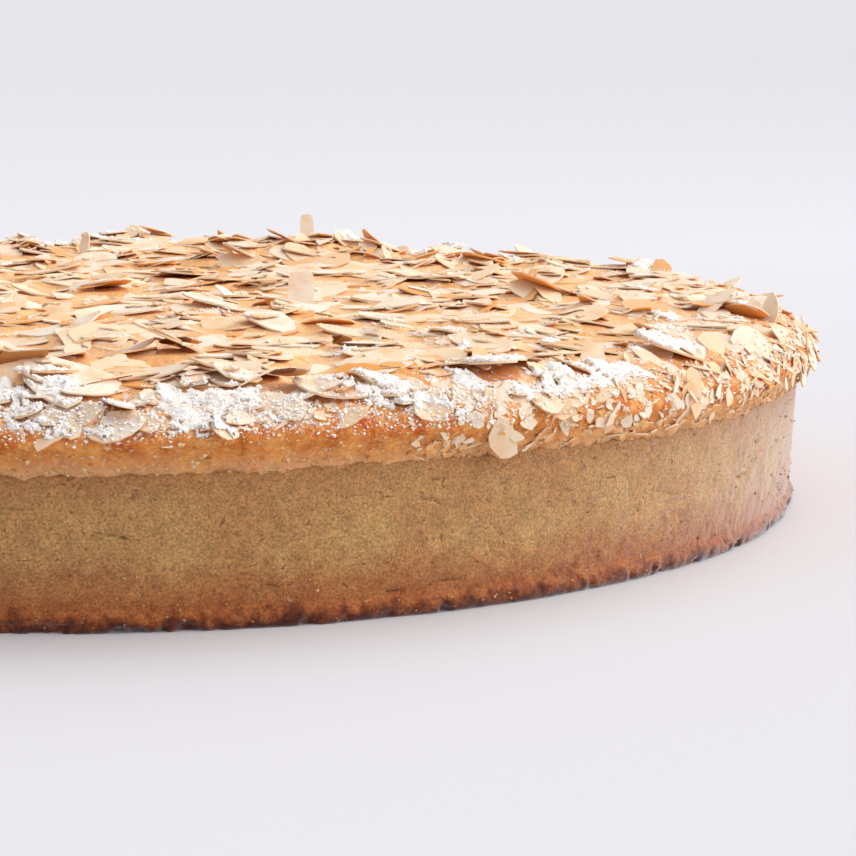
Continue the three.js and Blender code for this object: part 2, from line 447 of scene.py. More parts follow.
GLAZE_NEAR = 9  # cells of the height map that the glaze levels out over
GLAZE_WIDE = 51  # and those that hold it back from climbing a heap
GLAZE_CLIMB = 0.1
GLAZE_BELOW = (0.02, 0.1)  # how far the glaze stays below the level of the lower and of the upper almonds
GLAZE_FADE = (122, 131)  # radii between which it stops welling up


def levelled(height, cells):
    """A height map smoothed over some cells, leaving out those where nothing lies."""
    window = np.ones(cells) / cells
    level, weight = np.where(height > 0, height, 0), (height > 0).astype(float)
    for axis in (0, 1):
        level = np.apply_along_axis(np.convolve, axis, level, window, "same")
        weight = np.apply_along_axis(np.convolve, axis, weight, window, "same")
    return level / np.maximum(weight, LEAST_DIVISOR)


def raise_glaze(top, pile, below):
    """Lets the baked glaze well up between the almonds, so that they sit in it rather than on it."""
    highest = levelled(pile.height, GLAZE_WIDE) + GLAZE_CLIMB
    level = np.minimum(levelled(pile.height, GLAZE_NEAR), highest) - below
    points = points_of(top)
    radius = np.hypot(points[:, 0], points[:, 1])
    lifted = np.maximum(points[:, 2], level[pile.cells(points[:, 0], points[:, 1])])
    inside = (1 - smoothstep(radius, *GLAZE_FADE)) * (points[:, 2] > NOSE_HEIGHT)
    points[:, 2] += (lifted - points[:, 2]) * inside
    set_points(top, points)
    pile.cover(points[points[:, 2] > NOSE_HEIGHT])


GLAZE_DUST = 0.7  # how much of the sugar in the ring lies as a film on the glaze, and on the almonds
FLAKE_DUST = 0.5


def finish_top(top):
    """Gives the risen glaze its film of sugar and its finish."""
    set_attribute(top, "dust", GLAZE_DUST * sugar_ring(*points_of(top).T))
    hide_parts("almond_top")
    finish_piece(top, baked_glaze())


# Flaked almonds: lengths, slenderness, fewest and most breaks, thickness and toasting of each kind
WHOLE = ((12, 18), (0.5, 0.66), (0, 1), (0.28, 0.42), (0, 1))
SNAPPED = ((8, 16), (0.48, 0.7), (1, 3), (0.28, 0.42), (0, 1))
SHARD = ((7, 11), (0.45, 0.65), (1, 2), (0.26, 0.38), (0, 0.7))
CHIP = ((4, 10), (0.5, 0.8), (2, 4), (0.22, 0.38), (0.1, 1))
SLIVER = ((2, 6), (0.3, 0.7), (2, 4), (0.22, 0.38), (0.1, 0.95))
PALE_SLIVER = ((2, 6), (0.3, 0.7), (2, 4), (0.22, 0.38), (0, 0.45))
OUTLINE_POINTS = 16
OUTLINE_TURNS = 2 * np.pi * (np.arange(OUTLINE_POINTS) + 0.5) / OUTLINE_POINTS
EGG_SHAPE = (0.1, 0.35)  # how much narrower a slice is at one end
EDGE_WOBBLE = 0.035
BREAK_PLACE = (0.1, 0.65)  # of the way from the middle to the edge
BREAK_JITTER = 0.15
BREAK_LEAST = 0.2  # what a break leaves at the middle
BENDING = 0.007  # curl and twist, per millimetre
BOW_DIVISOR = 24  # a curled slice is lowered by its curl times its length squared, divided by this
SKIN_CHANCE = 0.08  # of some brown skin left at the rim
SKIN_POINTS = OUTLINE_POINTS // 3  # of the outline, where it is left
RIM_THICKNESS = 0.38  # half of a slice's thickness at its rim and at its middle, as a share of it
MIDDLE_THICKNESS = 0.5
CELL = 0.5  # of the height map that the flakes settle on
REACH = 140  # past the lip on every side
MAP_MARGIN = 2  # width outside the nose that the map still feels
MAP_CELLS = int(2 * REACH / CELL)


class Pile:
    """Height of all that lies on the tart so far, seen from above on a square grid."""

    def __init__(self, tree):
        self.height = np.full((MAP_CELLS, MAP_CELLS), -1.0)
        for i in range(MAP_CELLS):
            for j in range(MAP_CELLS):
                x, y = (i + 0.5) * CELL - REACH, (j + 0.5) * CELL - REACH
                if x * x + y * y < (NOSE_RADIUS + MAP_MARGIN) ** 2:
                    hit = tree.ray_cast(Vector((x * MM, y * MM, ABOVE_ALL * MM)), DOWN)[0]
                    self.height[i, j] = hit.z / MM if hit else -1

    def cells(self, x, y):
        i = np.clip(((x + REACH) / CELL).astype(int), 0, MAP_CELLS - 1)
        j = np.clip(((y + REACH) / CELL).astype(int), 0, MAP_CELLS - 1)
        return i, j

    def at(self, x, y):
        return self.height[self.cells(x, y)]

    def cover(self, points):
        np.maximum.at(self.height, self.cells(points[:, 0], points[:, 1]), points[:, 2])


NOSE_MARGIN = 1.5  # nearer the nose the top is too steep to lie on


def ground_axes(x, y, level):
    """Outward, sideways and upright directions for a flake: the top's own, or level where level is 1."""
    radius, angle = math.hypot(x, y), math.atan2(y, x)
    slope = top_slope(min(radius, NOSE_RADIUS - NOSE_MARGIN)) * (1 - level)
    outwards = np.array((math.cos(angle), math.sin(angle), slope))
    outwards /= np.linalg.norm(outwards)
    sideways = np.array((-math.sin(angle), math.cos(angle), 0))
    return outwards, sideways, np.cross(outwards, sideways)


class Flake:
    """One slice of almond, whole or broken, before it is laid down."""

    def __init__(self, rng, length, slenderness, breaks, thickness, toasting=(0, 1)):
        self.length = length
        self.width = length * slenderness
        self.thickness = thickness
        cosines, sines = np.cos(OUTLINE_TURNS), np.sin(OUTLINE_TURNS)
        along = length / 2 * cosines
        across = self.width / 2 * sines * (1 - rng.uniform(*EGG_SHAPE) * cosines)
        wobble = 1 + EDGE_WOBBLE * rng.standard_normal(OUTLINE_POINTS)
        outline = np.column_stack((along, across)) * wobble[:, None]
        for _ in range(breaks):
            heading = rng.uniform(0, 2 * np.pi)
            beyond = outline @ np.array((math.cos(heading), math.sin(heading)))
            limit = beyond.max() * rng.uniform(*BREAK_PLACE)
            snapped = np.maximum(limit + rng.normal(0, BREAK_JITTER, OUTLINE_POINTS), BREAK_LEAST)
            outline *= np.where(beyond > limit, snapped / np.maximum(beyond, LEAST_DIVISOR), 1)[:, None]
        self.outline = outline
        self.curl = rng.normal(0, BENDING)
        self.twist = rng.normal(0, BENDING)
        self.tone = between(toasting, rng.random())
        self.skin = float(rng.random() < SKIN_CHANCE)

    def square_off(self, roundness):
        """Trims the slice to a pale rounded rectangle."""
        corners = np.column_stack((np.cos(OUTLINE_TURNS), np.sin(OUTLINE_TURNS)))
        sides = np.sign(corners) * np.abs(corners) ** roundness
        self.outline = sides * (self.length / 2, self.width / 2)
        self.tone, self.skin = 0, 0

    def bow(self, flat):
        """How far the slice's middle surface stands off its plane."""
        along, across = flat.T
        return self.curl * (along**2 - self.length**2 / BOW_DIVISOR) + self.twist * along * across

    def inside(self, spacing):
        """Points all over the slice, for feeling what is under it."""
        reach = np.abs(self.outline).max(0)
        a, b = np.meshgrid(np.arange(-reach[0], reach[0], spacing), np.arange(-reach[1], reach[1], spacing))
        flat = np.column_stack((a.ravel(), b.ravel()))
        edge = np.hypot(*self.outline.T)
        heading = np.arctan2(self.outline[:, 1], self.outline[:, 0])
        order = np.argsort(heading)
        limit = np.interp(np.arctan2(flat[:, 1], flat[:, 0]), heading[order], edge[order], period=2 * np.pi)
        return flat[np.hypot(*flat.T) < limit]

    def shell(self):
        """Points of the closed slice: rim and middle of its upper face, and the same below."""
        flat = np.vstack((self.outline, np.zeros((1, 2))))
        bow = self.bow(flat)
        half = np.append(np.full(OUTLINE_POINTS, RIM_THICKNESS), MIDDLE_THICKNESS) * self.thickness
        return np.vstack((np.column_stack((flat, bow + half)), np.column_stack((flat, bow - half))))


def flake_triangles():
    """Triangles between the points of a flake's shell."""
    middle = OUTLINE_POINTS
    below = OUTLINE_POINTS + 1
    triangles = []
    for i in range(OUTLINE_POINTS):
        j = (i + 1) % OUTLINE_POINTS
        triangles += [(i, j, middle), (below + j, below + i, below + middle)]
        triangles += [(below + i, below + j, i), (below + j, j, i)]
    return np.array(triangles)


FLAKE_TRIANGLES = flake_triangles()
FLAKE_RIM = np.tile((np.arange(OUTLINE_POINTS + 1) < SKIN_POINTS).astype(float), 2)


def draw_flake(rng, kind):
    """A flake of a kind, with sizes drawn at random."""
    lengths, slenderness, breaks, thickness, toasting = kind
    return Flake(
        rng,
        between(lengths, rng.random()),
        between(slenderness, rng.random()),
        rng.integers(breaks[0], breaks[1] + 1),
        between(thickness, rng.random()),
        toasting,
    )


def stands(index):
    return index % STANDING_EVERY == STANDING_EVERY - 1


def lay_by_rule(flake, index, tilt, spin):
    """Axes and middle of one of the solid's own almonds, tilted by an angle in radians."""
    radius = FLAKE_SPREAD * math.sqrt((index + 0.5) / FLAKE_COUNT)
    angle = index * GOLDEN_ANGLE
    x, y = radius * math.cos(angle), radius * math.sin(angle)
    slope = top_slope(radius)
    outwards = np.array((math.cos(angle), math.sin(angle), slope)) / math.hypot(1, slope)
    sideways = np.array((-math.sin(angle), math.cos(angle), 0))
    normal = np.cross(outwards, sideways)
    along = math.cos(spin) * outwards + math.sin(spin) * sideways
    across = np.cross(normal, along)
    surface = float(top_height(radius) + TOP_LUMPS * top_puffs(x, y) + seam_lift(radius, angle))
    low_end = (flake.length * math.sin(tilt) + FLAKE_THICKNESS) / 2
    sunk = STANDING_SUNK if stands(index) else FLAKE_SUNK
    middle = np.array((x, y, surface + low_end - sunk))
    leaned = math.cos(tilt) * along - math.sin(tilt) * normal
    upright = math.sin(tilt) * along + math.cos(tilt) * normal
    return np.array((leaned, across, upright)), middle


def leaned_axes(along, across, normal, tilt):
    """Axes of a flake that leans a little out of the plane of along and across."""
    upright = normal - tilt[0] * along - tilt[1] * across
    upright /= np.linalg.norm(upright)
    leaned = along - (along @ upright) * upright
    leaned /= np.linalg.norm(leaned)
    return np.array((leaned, np.cross(upright, leaned), upright))


FEELING = 1.2  # widest spacing of the points that feel what is below
FEELING_ACROSS = 5  # fewest of these spacings across a flake
FEWEST_HELD = 4  # of those points, for a flake to stay on the tart
FOLLOWS = 0.6  # share of the slope below that a flake takes up
FOLLOWS_MOST = 0.3  # steepest slope that it takes up
FLOATS = 0.45  # height of its middle over what it rests on, as a share of its thickness


def settle(pile, flake, x, y, spin, lean, soft, level):
    """Axes and middle of a flake dropped on the pile: it follows what is below and rests on high points."""
    outwards, sideways, normal = ground_axes(x, y, level)
    along = math.cos(spin) * outwards + math.sin(spin) * sideways
    across = np.cross(normal, along)
    flat = flake.inside(min(FEELING, flake.width / FEELING_ACROSS))
    spots = np.array((x, y, 0)) + flat[:, :1] * along + flat[:, 1:] * across
    ground = pile.at(spots[:, 0], spots[:, 1])
    held = ground > 0
    if held.sum() < FEWEST_HELD:
        return None
    rise = (ground - spots[:, 2])[held] * normal[2]
    base = np.column_stack((np.ones(held.sum()), flat[held]))
    fit = np.linalg.lstsq(base, rise, rcond=None)[0]
    tilt = np.clip(fit[1:] * FOLLOWS, -FOLLOWS_MOST, FOLLOWS_MOST) * (1 - level) + lean
    rest = np.quantile(rise - flat[held] @ tilt - flake.bow(flat[held]), 1 - soft)
    middle = np.array((x, y, (rest + flake.thickness * FLOATS) / normal[2]))
    return leaned_axes(along, across, normal, tilt), middle


CLEARANCE = 6  # distance from which a flake is pressed on to the shoulder
PLANTED = 0.25  # height of the middle of a flake on end, as a share of its length


def stick(tree, angle, share, spin, lean, stand_off):
    """Axes and middle of a flake baked on to the shoulder; share is 0 at the lip's nose, 1 at the top."""
    swing = math.pi / 2 * share
    width = NOSE_RADIUS - SHOULDER_RADIUS
    radius = SHOULDER_RADIUS + width * math.cos(swing)
    out = np.array((math.cos(angle), math.sin(angle), 0))
    normal = SHOULDER_RISE * math.cos(swing) * out + width * math.sin(swing) * UP
    normal /= np.linalg.norm(normal)
    sideways = np.cross(UP, out)
    downhill = np.cross(sideways, normal)
    start = radius * out + (NOSE_HEIGHT + SHOULDER_RISE * math.sin(swing)) * UP + CLEARANCE * normal
    hit = tree.ray_cast(Vector(start * MM), Vector(-normal))[0]
    if hit is None:
        return None
    along = math.cos(spin) * downhill + math.sin(spin) * sideways
    across = np.cross(normal, along)
    return leaned_axes(along, across, normal, lean), np.array(hit) / MM + stand_off * normal


def plant(pile, flake, x, y, spin, lean):
    """Axes and middle of a flake stuck on end in the pile."""
    level = pile.at(np.array((x,)), np.array((y,)))[0]
    heading = np.array((math.cos(spin), math.sin(spin), 0))
    along = math.cos(lean) * UP + math.sin(lean) * heading
    normal = math.cos(lean) * heading - math.sin(lean) * UP
    middle = np.array((x, y, level + PLANTED * flake.length))
    return np.array((along, np.cross(normal, along), normal)), middle


class Scatter:
    """Flakes gathered into one mesh."""

    def __init__(self):
        self.points, self.tone, self.skin = [], [], []

    def add(self, pile, flake, axes, middle):
        """Takes up a flake, which then lies on the pile."""
        self.points.append(flake.shell() @ axes + middle)
        self.tone.append(flake.tone)
        self.skin.append(flake.skin)
        flat = flake.inside(CELL * 0.7)  # close enough to miss no cell
        upper = np.column_stack((flat, flake.bow(flat) + flake.thickness / 2))
        pile.cover(upper @ axes + middle)

    def piece(self, name):
        """One piece of all the flakes."""
        count, size = len(self.points), len(FLAKE_RIM)
        starts = np.arange(count)[:, None, None] * size
        piece = joined_mesh(name, np.vstack(self.points), (FLAKE_TRIANGLES[None] + starts).reshape(-1, 3))
        set_attribute(piece, "tone", np.repeat(self.tone, size))
        set_attribute(piece, "skin", np.repeat(self.skin, size))
        set_attribute(piece, "rim", np.tile(FLAKE_RIM, count))
        set_attribute(piece, "dust", FLAKE_DUST * sugar_ring(*np.vstack(self.points).T))
        return finish_piece(piece, sliced_almond(), sharp_angle=50)


# Stretches of the tart, as directions in degrees
ALL_ROUND = (-180, 180)
BACK = (35, 150)
RIGHT = (-72, 32)
FRONT = (-170, -55)
RIM_RIGHT = (-25, 35)
FAR_BACK = (57, 150)
STEEPEST = 0.42  # slope of a flake that lies in the pile
JUTTING_CHANCE = 0.2  # of a flake that leans three times as much as the others
STAND_OFF = (-0.3, 0.2)  # of flakes baked on to the shoulder
SIDE_SHARE = 0.45  # flakes on its steep part, as a share of those on its flat part
# Place, heading and lean in radians, length, width and roundness of the almonds that stand on end
STANDING_PIECES = (
    (30, -29, 1.5, 0.7, 9.5, 5, 0.4),
    (119.5, -40, 0.6, 0.2, 8, 4.2, 1.3),
    (40.5, 110, 1.7, 0.15, 7, 3.4, 0.6),
    (-14, 96, 0.8, 0.3, 6, 3, 1),
    (-60, 30, 2, 0.4, 7, 4, 0.7),
    (58, 84, 2.6, 0.5, 6, 3.2, 1),
    (-88, -62, 0.2, 0.3, 7, 4, 0.8),
)
# Place, heading, lean, length and width of slices on end that are dark brown all over: partly almond skin,
# partly dark things standing in for shade in gaps between flakes
SKIN_AND_SHADE_SLICES = (
    (-22, -118.5, -1.4, 0.95, 8, 14),
    (7.5, -93, -1.6, 1.2, 4.5, 10),
    (32, -88, -1.2, 1.0, 4.5, 6),
    (22.5, -124, -1.6, 1.2, 4.5, 7),
    (52, 35, -1.6, 1.1, 4, 6.5),
    (-70, -20, 1.9, 1.1, 5, 8),
    (-35, 70, 0.4, 1.15, 5, 7),
    (80, 55, 2.9, 1.1, 4, 7),
)
SKIN_AND_SHADE_DARK = 1.89  # half dark, and fully dark at the rim
RULE_THICKNESS = 0.5  # of the slices that the solid has too
THIN = 0.3  # thickness of the slices on end


def strew(pile, rng, scatter, kind, count, radii, turn, lean, soft, level=0):
    """Drops flakes of a kind between two radii and two directions.

    Lean is how far they tip at random, soft the share of the ground below that they sink past, and level
    how far they ignore the slope of the top.
    """
    for _ in range(count):
        radius = math.sqrt(between((radii[0] ** 2, radii[1] ** 2), rng.random()))
        angle = math.radians(between(turn, rng.random()))
        flake = draw_flake(rng, kind)
        tilt = rng.normal(0, lean, 2) * (1 + 2 * (rng.random() < JUTTING_CHANCE))
        tilt = np.clip(tilt, -STEEPEST, STEEPEST)
        spot = radius * math.cos(angle), radius * math.sin(angle)
        placed = settle(pile, flake, *spot, rng.uniform(0, 2 * np.pi), tilt, soft, level)
        if placed:
            scatter.add(pile, flake, *placed)


def paste(pile, tree, rng, scatter, kind, count, shares, turn, steepness):
    """Bakes flakes of a kind on to the shoulder, between two shares of its slope and two directions."""
    laid = 0
    while laid < count:
        share = between(shares, rng.random())
        swing = share * math.pi / 2
        evenness = math.hypot(math.sin(swing), SIDE_SHARE * math.cos(swing))
        if rng.random() > evenness:
            continue
        laid += 1
        flake = draw_flake(rng, kind)
        angle = math.radians(between(turn, rng.random()))
        spin = rng.uniform(0, 2 * np.pi)
        lean = rng.normal(0, steepness, 2)
        placed = stick(tree, angle, share, spin, lean, rng.uniform(*STAND_OFF))
        if placed:
            scatter.add(pile, flake, *placed)


def almonds(top):
    """Whole slices, broken ones, chips and slivers: some baked into the glaze, the rest strewn over it."""
    make_active(top)
    tree = BVHTree.FromObject(top, bpy.context.evaluated_depsgraph_get())
    pile = Pile(tree)
    rng = np.random.default_rng(21)
    whole, snapped, chips, slivers = Scatter(), Scatter(), Scatter(), Scatter()
    strew(pile, rng, snapped, SNAPPED, 300, (0, 125), ALL_ROUND, 0.1, 0.6)
    strew(pile, rng, whole, WHOLE, 100, (0, 122), ALL_ROUND, 0.1, 0.6)
    paste(pile, tree, rng, slivers, PALE_SLIVER, 900, (-0.4, 0.4), RIGHT, 0.22)
    paste(pile, tree, rng, chips, CHIP, 90, (-0.1, 0.5), RIGHT, 0.18)
    paste(pile, tree, rng, snapped, SNAPPED, 150, (0.35, 0.9), ALL_ROUND, 0.26)
    paste(pile, tree, rng, snapped, SHARD, 100, (0.24, 0.7), FRONT, 0.22)
    paste(pile, tree, rng, chips, CHIP, 560, (0.2, 0.95), ALL_ROUND, 0.26)
    paste(pile, tree, rng, slivers, SLIVER, 1000, (0.12, 0.9), ALL_ROUND, 0.22)
    draw = seeded_random(97)
    for index in range(FLAKE_COUNT):
        length = between(FLAKE_LENGTH, next(draw))
        slenderness = between(FLAKE_SLENDERNESS, next(draw))
        spin = 2 * math.pi * next(draw)
        tilt = STANDING_TILT if stands(index) else between(FLAKE_TILT, next(draw))
        flake = Flake(rng, length, slenderness, 0, RULE_THICKNESS)
        whole.add(pile, flake, *lay_by_rule(flake, index, math.radians(tilt), spin))
    strew(pile, rng, snapped, SNAPPED, 460, (0, 125), ALL_ROUND, 0.13, 0.7)
    strew(pile, rng, chips, CHIP, 420, (0, 128), ALL_ROUND, 0.16, 0.65)
    strew(pile, rng, slivers, SLIVER, 420, (0, 129), ALL_ROUND, 0.2, 0.6)
    raise_glaze(top, pile, GLAZE_BELOW[0])
    strew(pile, rng, snapped, SNAPPED, 500, (0, 123), ALL_ROUND, 0.04, 0.7)
    strew(pile, rng, chips, CHIP, 300, (0, 126), ALL_ROUND, 0.06, 0.65)
    strew(pile, rng, snapped, SNAPPED, 200, (88, 124), BACK, 0.2, 0.5)
    strew(pile, rng, snapped, SNAPPED, 240, (92, 124), FAR_BACK, 0.22, 0.35)
    strew(pile, rng, snapped, SNAPPED, 50, (104, 126), RIM_RIGHT, 0.2, 0.45)
    strew(pile, rng, whole, WHOLE, 600, (0, 121), ALL_ROUND, 0.045, 0.7)
    strew(pile, rng, snapped, SNAPPED, 250, (0, 118), ALL_ROUND, 0.05, 0.7)
    strew(pile, rng, snapped, SNAPPED, 80, (114, 128), FRONT, 0.12, 0.65, level=0.45)
    raise_glaze(top, pile, GLAZE_BELOW[1])
    # Dark slices on end: partly brown skin, partly painted shade in the gaps between flakes.
    for x, y, heading, lean, length, width in SKIN_AND_SHADE_SLICES:
        flake = Flake(rng, length, width / length, 1, THIN)
        flake.skin = SKIN_AND_SHADE_DARK
        snapped.add(pile, flake, *plant(pile, flake, x, y, heading, lean))
    for x, y, heading, lean, length, width, roundness in STANDING_PIECES:
        flake = Flake(rng, length, width / length, 0, THIN)
        flake.square_off(roundness)
        snapped.add(pile, flake, *plant(pile, flake, x, y, heading, lean))
    return [
        whole.piece("almond_slices"),
        snapped.piece("almond_pieces"),
        chips.piece("almond_chips"),
        slivers.piece("almond_slivers"),
    ]


# Icing sugar
SUGAR_SIDE = (-0.35, -0.94)  # direction of the side on which most of it fell
SIDE_MEAN = 0.7
SIDE_SWING = 0.3
RING_INNER = 103  # radius at which the ring of sugar begins
RING_NARROWER = 16  # how much further out it begins at the front
RING_FRONT = (0.4, 0.85)  # cosines of the turns from the front at which that starts and is full
RING_EDGE = 8
RING_RAISED = 5.5  # how much higher it ends at the right
RING_RIGHT = (0.38, 0.8)  # cosines of the turns from the right at which that starts and is full
RING_BELOW = 1  # how far below the nose it ends elsewhere
RING_FADE = 3.5
DRIFT_PATCHES = ((0.5, 9, 4), (0.3, 3.2, 5), (0.2, 1.2, 6))  # weight, size and seed
DRIFT_SHEAR = (0.8, 0.6)  # sideways for each step up, so that drifts don't smear down the slope
DRIFT_LOSS = 0.4  # what the drifts' noise loses where there is no ring
SUGAR_EDGE = (0.38, 0.62)  # of the drifts' noise, from bare to full
RIGHT_DRIFT = 0.15  # added to that noise on the upper shoulder at the front right
RIGHT_STARTS = (0.2, 0.34)  # cosines of the turns from the right over which that sets in
RIGHT_ENDS = (0.58, 0.72)  # and over which it ends
RIGHT_RISE = (2.5, 5)  # heights over the nose between which it sets in
SUGAR_STEP = 0.36
SUGAR_JITTER = 0.35  # of that step, by which points lie off a regular grid
SUGAR_INNER = 96
DOME_SAMPLES = 60
SHOULDER_SAMPLES = 200
SUGAR_DEPTH = 0.6
SUGAR_UNEVEN = (0.65, 1.3)
SUGAR_BARE = 0.12  # share of full depth that counts as bare
SUGAR_THINNEST = 0.06
SUGAR_STEEP = (0.3, 0.7)  # upright parts of the ground's direction at which powder slides off and stays
SUGAR_ABOVE = 6  # height from which powder falls on the outline
SUGAR_BREAK = 0.65  # a step in the ground that the powder doesn't bridge
SUGAR_SUNK = 0.1  # its underside lies this far below the ground
NO_GROUND = -9.0
CELL_CORNERS = ((0, 0), (1, 0), (1, 1), (0, 1))  # rows and columns from a cell's first corner
CLUMP_COUNT = 9500
CLUMP_RADIUS = (0.18, 0.45)
GRAIN_COUNT = 45000
GRAIN_RADIUS = (0.1, 0.22)  # as small as shows; the powder's own grain is far finer
SPECK_COUNT = 15000
SPECK_RADIUS = (0.12, 0.42)


def sugar_sides(x, y):
    """Share of the sugar that fell on each side, from 0.4 at the back to 1 at the front."""
    facing = (SUGAR_SIDE[0] * x + SUGAR_SIDE[1] * y) / np.maximum(np.hypot(x, y), 1)
    return SIDE_MEAN + SIDE_SWING * facing


def sugar_ring(x, y, z):
    """How much sugar fell at each point, from 0 to 1: in a ring, narrow in front and high at the right."""
    radius = np.maximum(np.hypot(x, y), 1)
    inner = RING_INNER + RING_NARROWER * smoothstep(-y / radius, *RING_FRONT)
    lowest = NOSE_HEIGHT - RING_BELOW + RING_RAISED * smoothstep(x / radius, *RING_RIGHT)
    ring = smoothstep(radius, inner, inner + RING_EDGE) * smoothstep(z, lowest, lowest + RING_FADE)
    return ring * sugar_sides(x, y)


def sugar_drift(x, y):
    """Uneven drifts in the sugar, from 0 to 1."""
    return sum(weight * clouds(x, y, size, seed) for weight, size, seed in DRIFT_PATCHES)


def ground_under(pieces):
    """A tree for dropping things on to all the pieces at once."""
    points, faces, first = [], [], 0
    for piece in pieces:
        mesh = piece.data
        mesh.calc_loop_triangles()
        corners = np.empty(len(mesh.loop_triangles) * 3, np.int32)
        mesh.loop_triangles.foreach_get("vertices", corners)
        points.append(points_of(piece) * MM)
        faces.append(corners.reshape(-1, 3) + first)
        first += len(mesh.vertices)
    return BVHTree.FromPolygons(np.vstack(points).tolist(), np.vstack(faces).tolist(), all_triangles=True)


def drop(tree, x, y):
    """Height and steepness of the ground under each point; height 0 where there is none."""
    height, upright = np.zeros(len(x)), np.zeros(len(x))
    for k, (px, py) in enumerate(zip(x * MM, y * MM)):
        hit, normal, _, _ = tree.ray_cast(Vector((px, py, ABOVE_ALL * MM)), DOWN)
        if hit:
            height[k], upright[k] = hit.z / MM, abs(normal.z)
    return height, upright


def sugar_rows():
    """Radius, height and outward direction at even steps down the top's outline, as far as the nose."""
    inner = np.linspace(SUGAR_INNER, SHOULDER_RADIUS, DOME_SAMPLES, endpoint=False)
    swing = np.linspace(math.pi / 2, 0, SHOULDER_SAMPLES)
    radius = np.append(inner, SHOULDER_RADIUS + (NOSE_RADIUS - SHOULDER_RADIUS) * np.cos(swing))
    height = top_height(radius)
    down = np.append(0, np.cumsum(np.hypot(np.diff(radius), np.diff(height))))
    steps = np.arange(0, down[-1], SUGAR_STEP)
    radius, height = np.interp(steps, down, radius), np.interp(steps, down, height)
    across, fall = np.gradient(radius), np.gradient(height)
    length = np.hypot(across, fall)
    return radius, height, -fall / length, across / length


def sugar_cover(x, y, z, spread):
    """Share of full depth of the powder at each point: ragged drifts that thin out with the ring."""
    sideways = x / np.maximum(np.hypot(x, y), 1)
    right = smoothstep(sideways, *RIGHT_STARTS) * (1 - smoothstep(sideways, *RIGHT_ENDS)) * (y < 0)
    upper = smoothstep(z, NOSE_HEIGHT + RIGHT_RISE[0], NOSE_HEIGHT + RIGHT_RISE[1])
    drift = sugar_drift(x + DRIFT_SHEAR[0] * z, y + DRIFT_SHEAR[1] * z) + spread
    drift += RIGHT_DRIFT * right * upper
    return smoothstep(drift - DRIFT_LOSS * (1 - sugar_ring(x, y, z)), *SUGAR_EDGE)


def at_corner(grid, below, turn):
    """What a grid that closes up sideways holds at one corner of each of its cells."""
    return np.roll(grid, -turn, 1)[below:][: len(grid) - 1]


def crust_faces(number, whole):
    """Triangles of closed crusts over the whole cells of a grid: upper faces, lower faces and skirts."""
    a, b, c, d = (at_corner(number, *corner)[whole] for corner in CELL_CORNERS)
    upper = np.vstack((np.column_stack((a, b, c)), np.column_stack((a, c, d))))
    lower = upper[:, ::-1] + number.size
    edges = np.vstack([np.column_stack(pair) for pair in ((a, b), (b, c), (c, d), (d, a))])
    forth = edges[:, 0] * number.size + edges[:, 1]
    back = edges[:, 1] * number.size + edges[:, 0]
    near, far = edges[~np.isin(forth, back)].T
    skirt = np.vstack((
        np.column_stack((near, near + number.size, far)),
        np.column_stack((far, near + number.size, far + number.size)),
    ))
    return np.vstack((upper, lower, skirt))


def sugar_drifts(tree):
    """Powder lying on the ring and the shoulder, as thin closed crusts that break at the almonds' edges."""
    rng = np.random.default_rng(31)
    columns = int(2 * np.pi * CASE_RADIUS / SUGAR_STEP)
    lines = sugar_rows()
    shape = len(lines[0]), columns
    row = np.arange(shape[0])
    place = row[:, None] + rng.uniform(-SUGAR_JITTER, SUGAR_JITTER, shape)
    radius, level, out, up = (np.interp(place, row, line) for line in lines)
    angle = (np.arange(columns) + rng.uniform(-SUGAR_JITTER, SUGAR_JITTER, shape)) * 2 * np.pi / columns
    normal = np.stack((out * np.cos(angle), out * np.sin(angle), up), 2)
    smooth = np.stack((radius * np.cos(angle), radius * np.sin(angle), level), 2)
    cover = sugar_cover(*smooth.transpose(2, 0, 1), 0)
    lift, upright = np.full(shape, NO_GROUND), np.zeros(shape)
    for i, j in np.argwhere(cover > SUGAR_BARE):
        start = (smooth[i, j] + SUGAR_ABOVE * normal[i, j]) * MM
        _, facing, _, away = tree.ray_cast(Vector(start), Vector(-normal[i, j]), 2 * SUGAR_ABOVE * MM)
        if facing:
            lift[i, j], upright[i, j] = SUGAR_ABOVE - away / MM, abs(facing.z)
    powder = SUGAR_DEPTH * (cover - SUGAR_BARE) * rng.uniform(*SUGAR_UNEVEN, shape)
    powder *= smoothstep(upright, *SUGAR_STEEP)
    lifts = [at_corner(lift, *corner) for corner in CELL_CORNERS]
    whole = np.max(lifts, 0) - np.min(lifts, 0) < SUGAR_BREAK
    for corner in CELL_CORNERS:
        whole &= at_corner(powder > SUGAR_THINNEST, *corner)
    faces = crust_faces(np.arange(angle.size).reshape(shape), whole)
    upper = smooth + (lift + powder)[:, :, None] * normal
    lower = smooth + (lift - SUGAR_SUNK)[:, :, None] * normal
    points = np.vstack((upper.reshape(-1, 3), lower.reshape(-1, 3)))
    used, renumbered = np.unique(faces, return_inverse=True)
    piece = joined_mesh("icing_sugar", points[used], renumbered.reshape(-1, 3))
    return finish_piece(piece, icing_sugar())


# Corners and faces of the two forms of lumps
EIGHT_SIDED = (
    np.array(((1, 0, 0), (-1, 0, 0), (0, 1, 0), (0, -1, 0), (0, 0, 1), (0, 0, -1)), float),
    np.array(((0, 2, 4), (2, 1, 4), (1, 3, 4), (3, 0, 4), (2, 0, 5), (1, 2, 5), (3, 1, 5), (0, 3, 5))),
)
FOUR_SIDED = (
    np.array(((0.9, 0, -0.4), (-0.5, 0.8, -0.4), (-0.5, -0.8, -0.4), (0, 0, 1.1))),
    np.array(((0, 1, 3), (1, 2, 3), (2, 0, 3), (1, 0, 2))),
)
LUMP_STRETCH = (0.6, 1.3)
LUMP_JITTER = 0.2
LUMP_FLATNESS = 0.8
LUMP_PROUD = 0.3  # height of a lump's middle over the ground, as a share of its radius


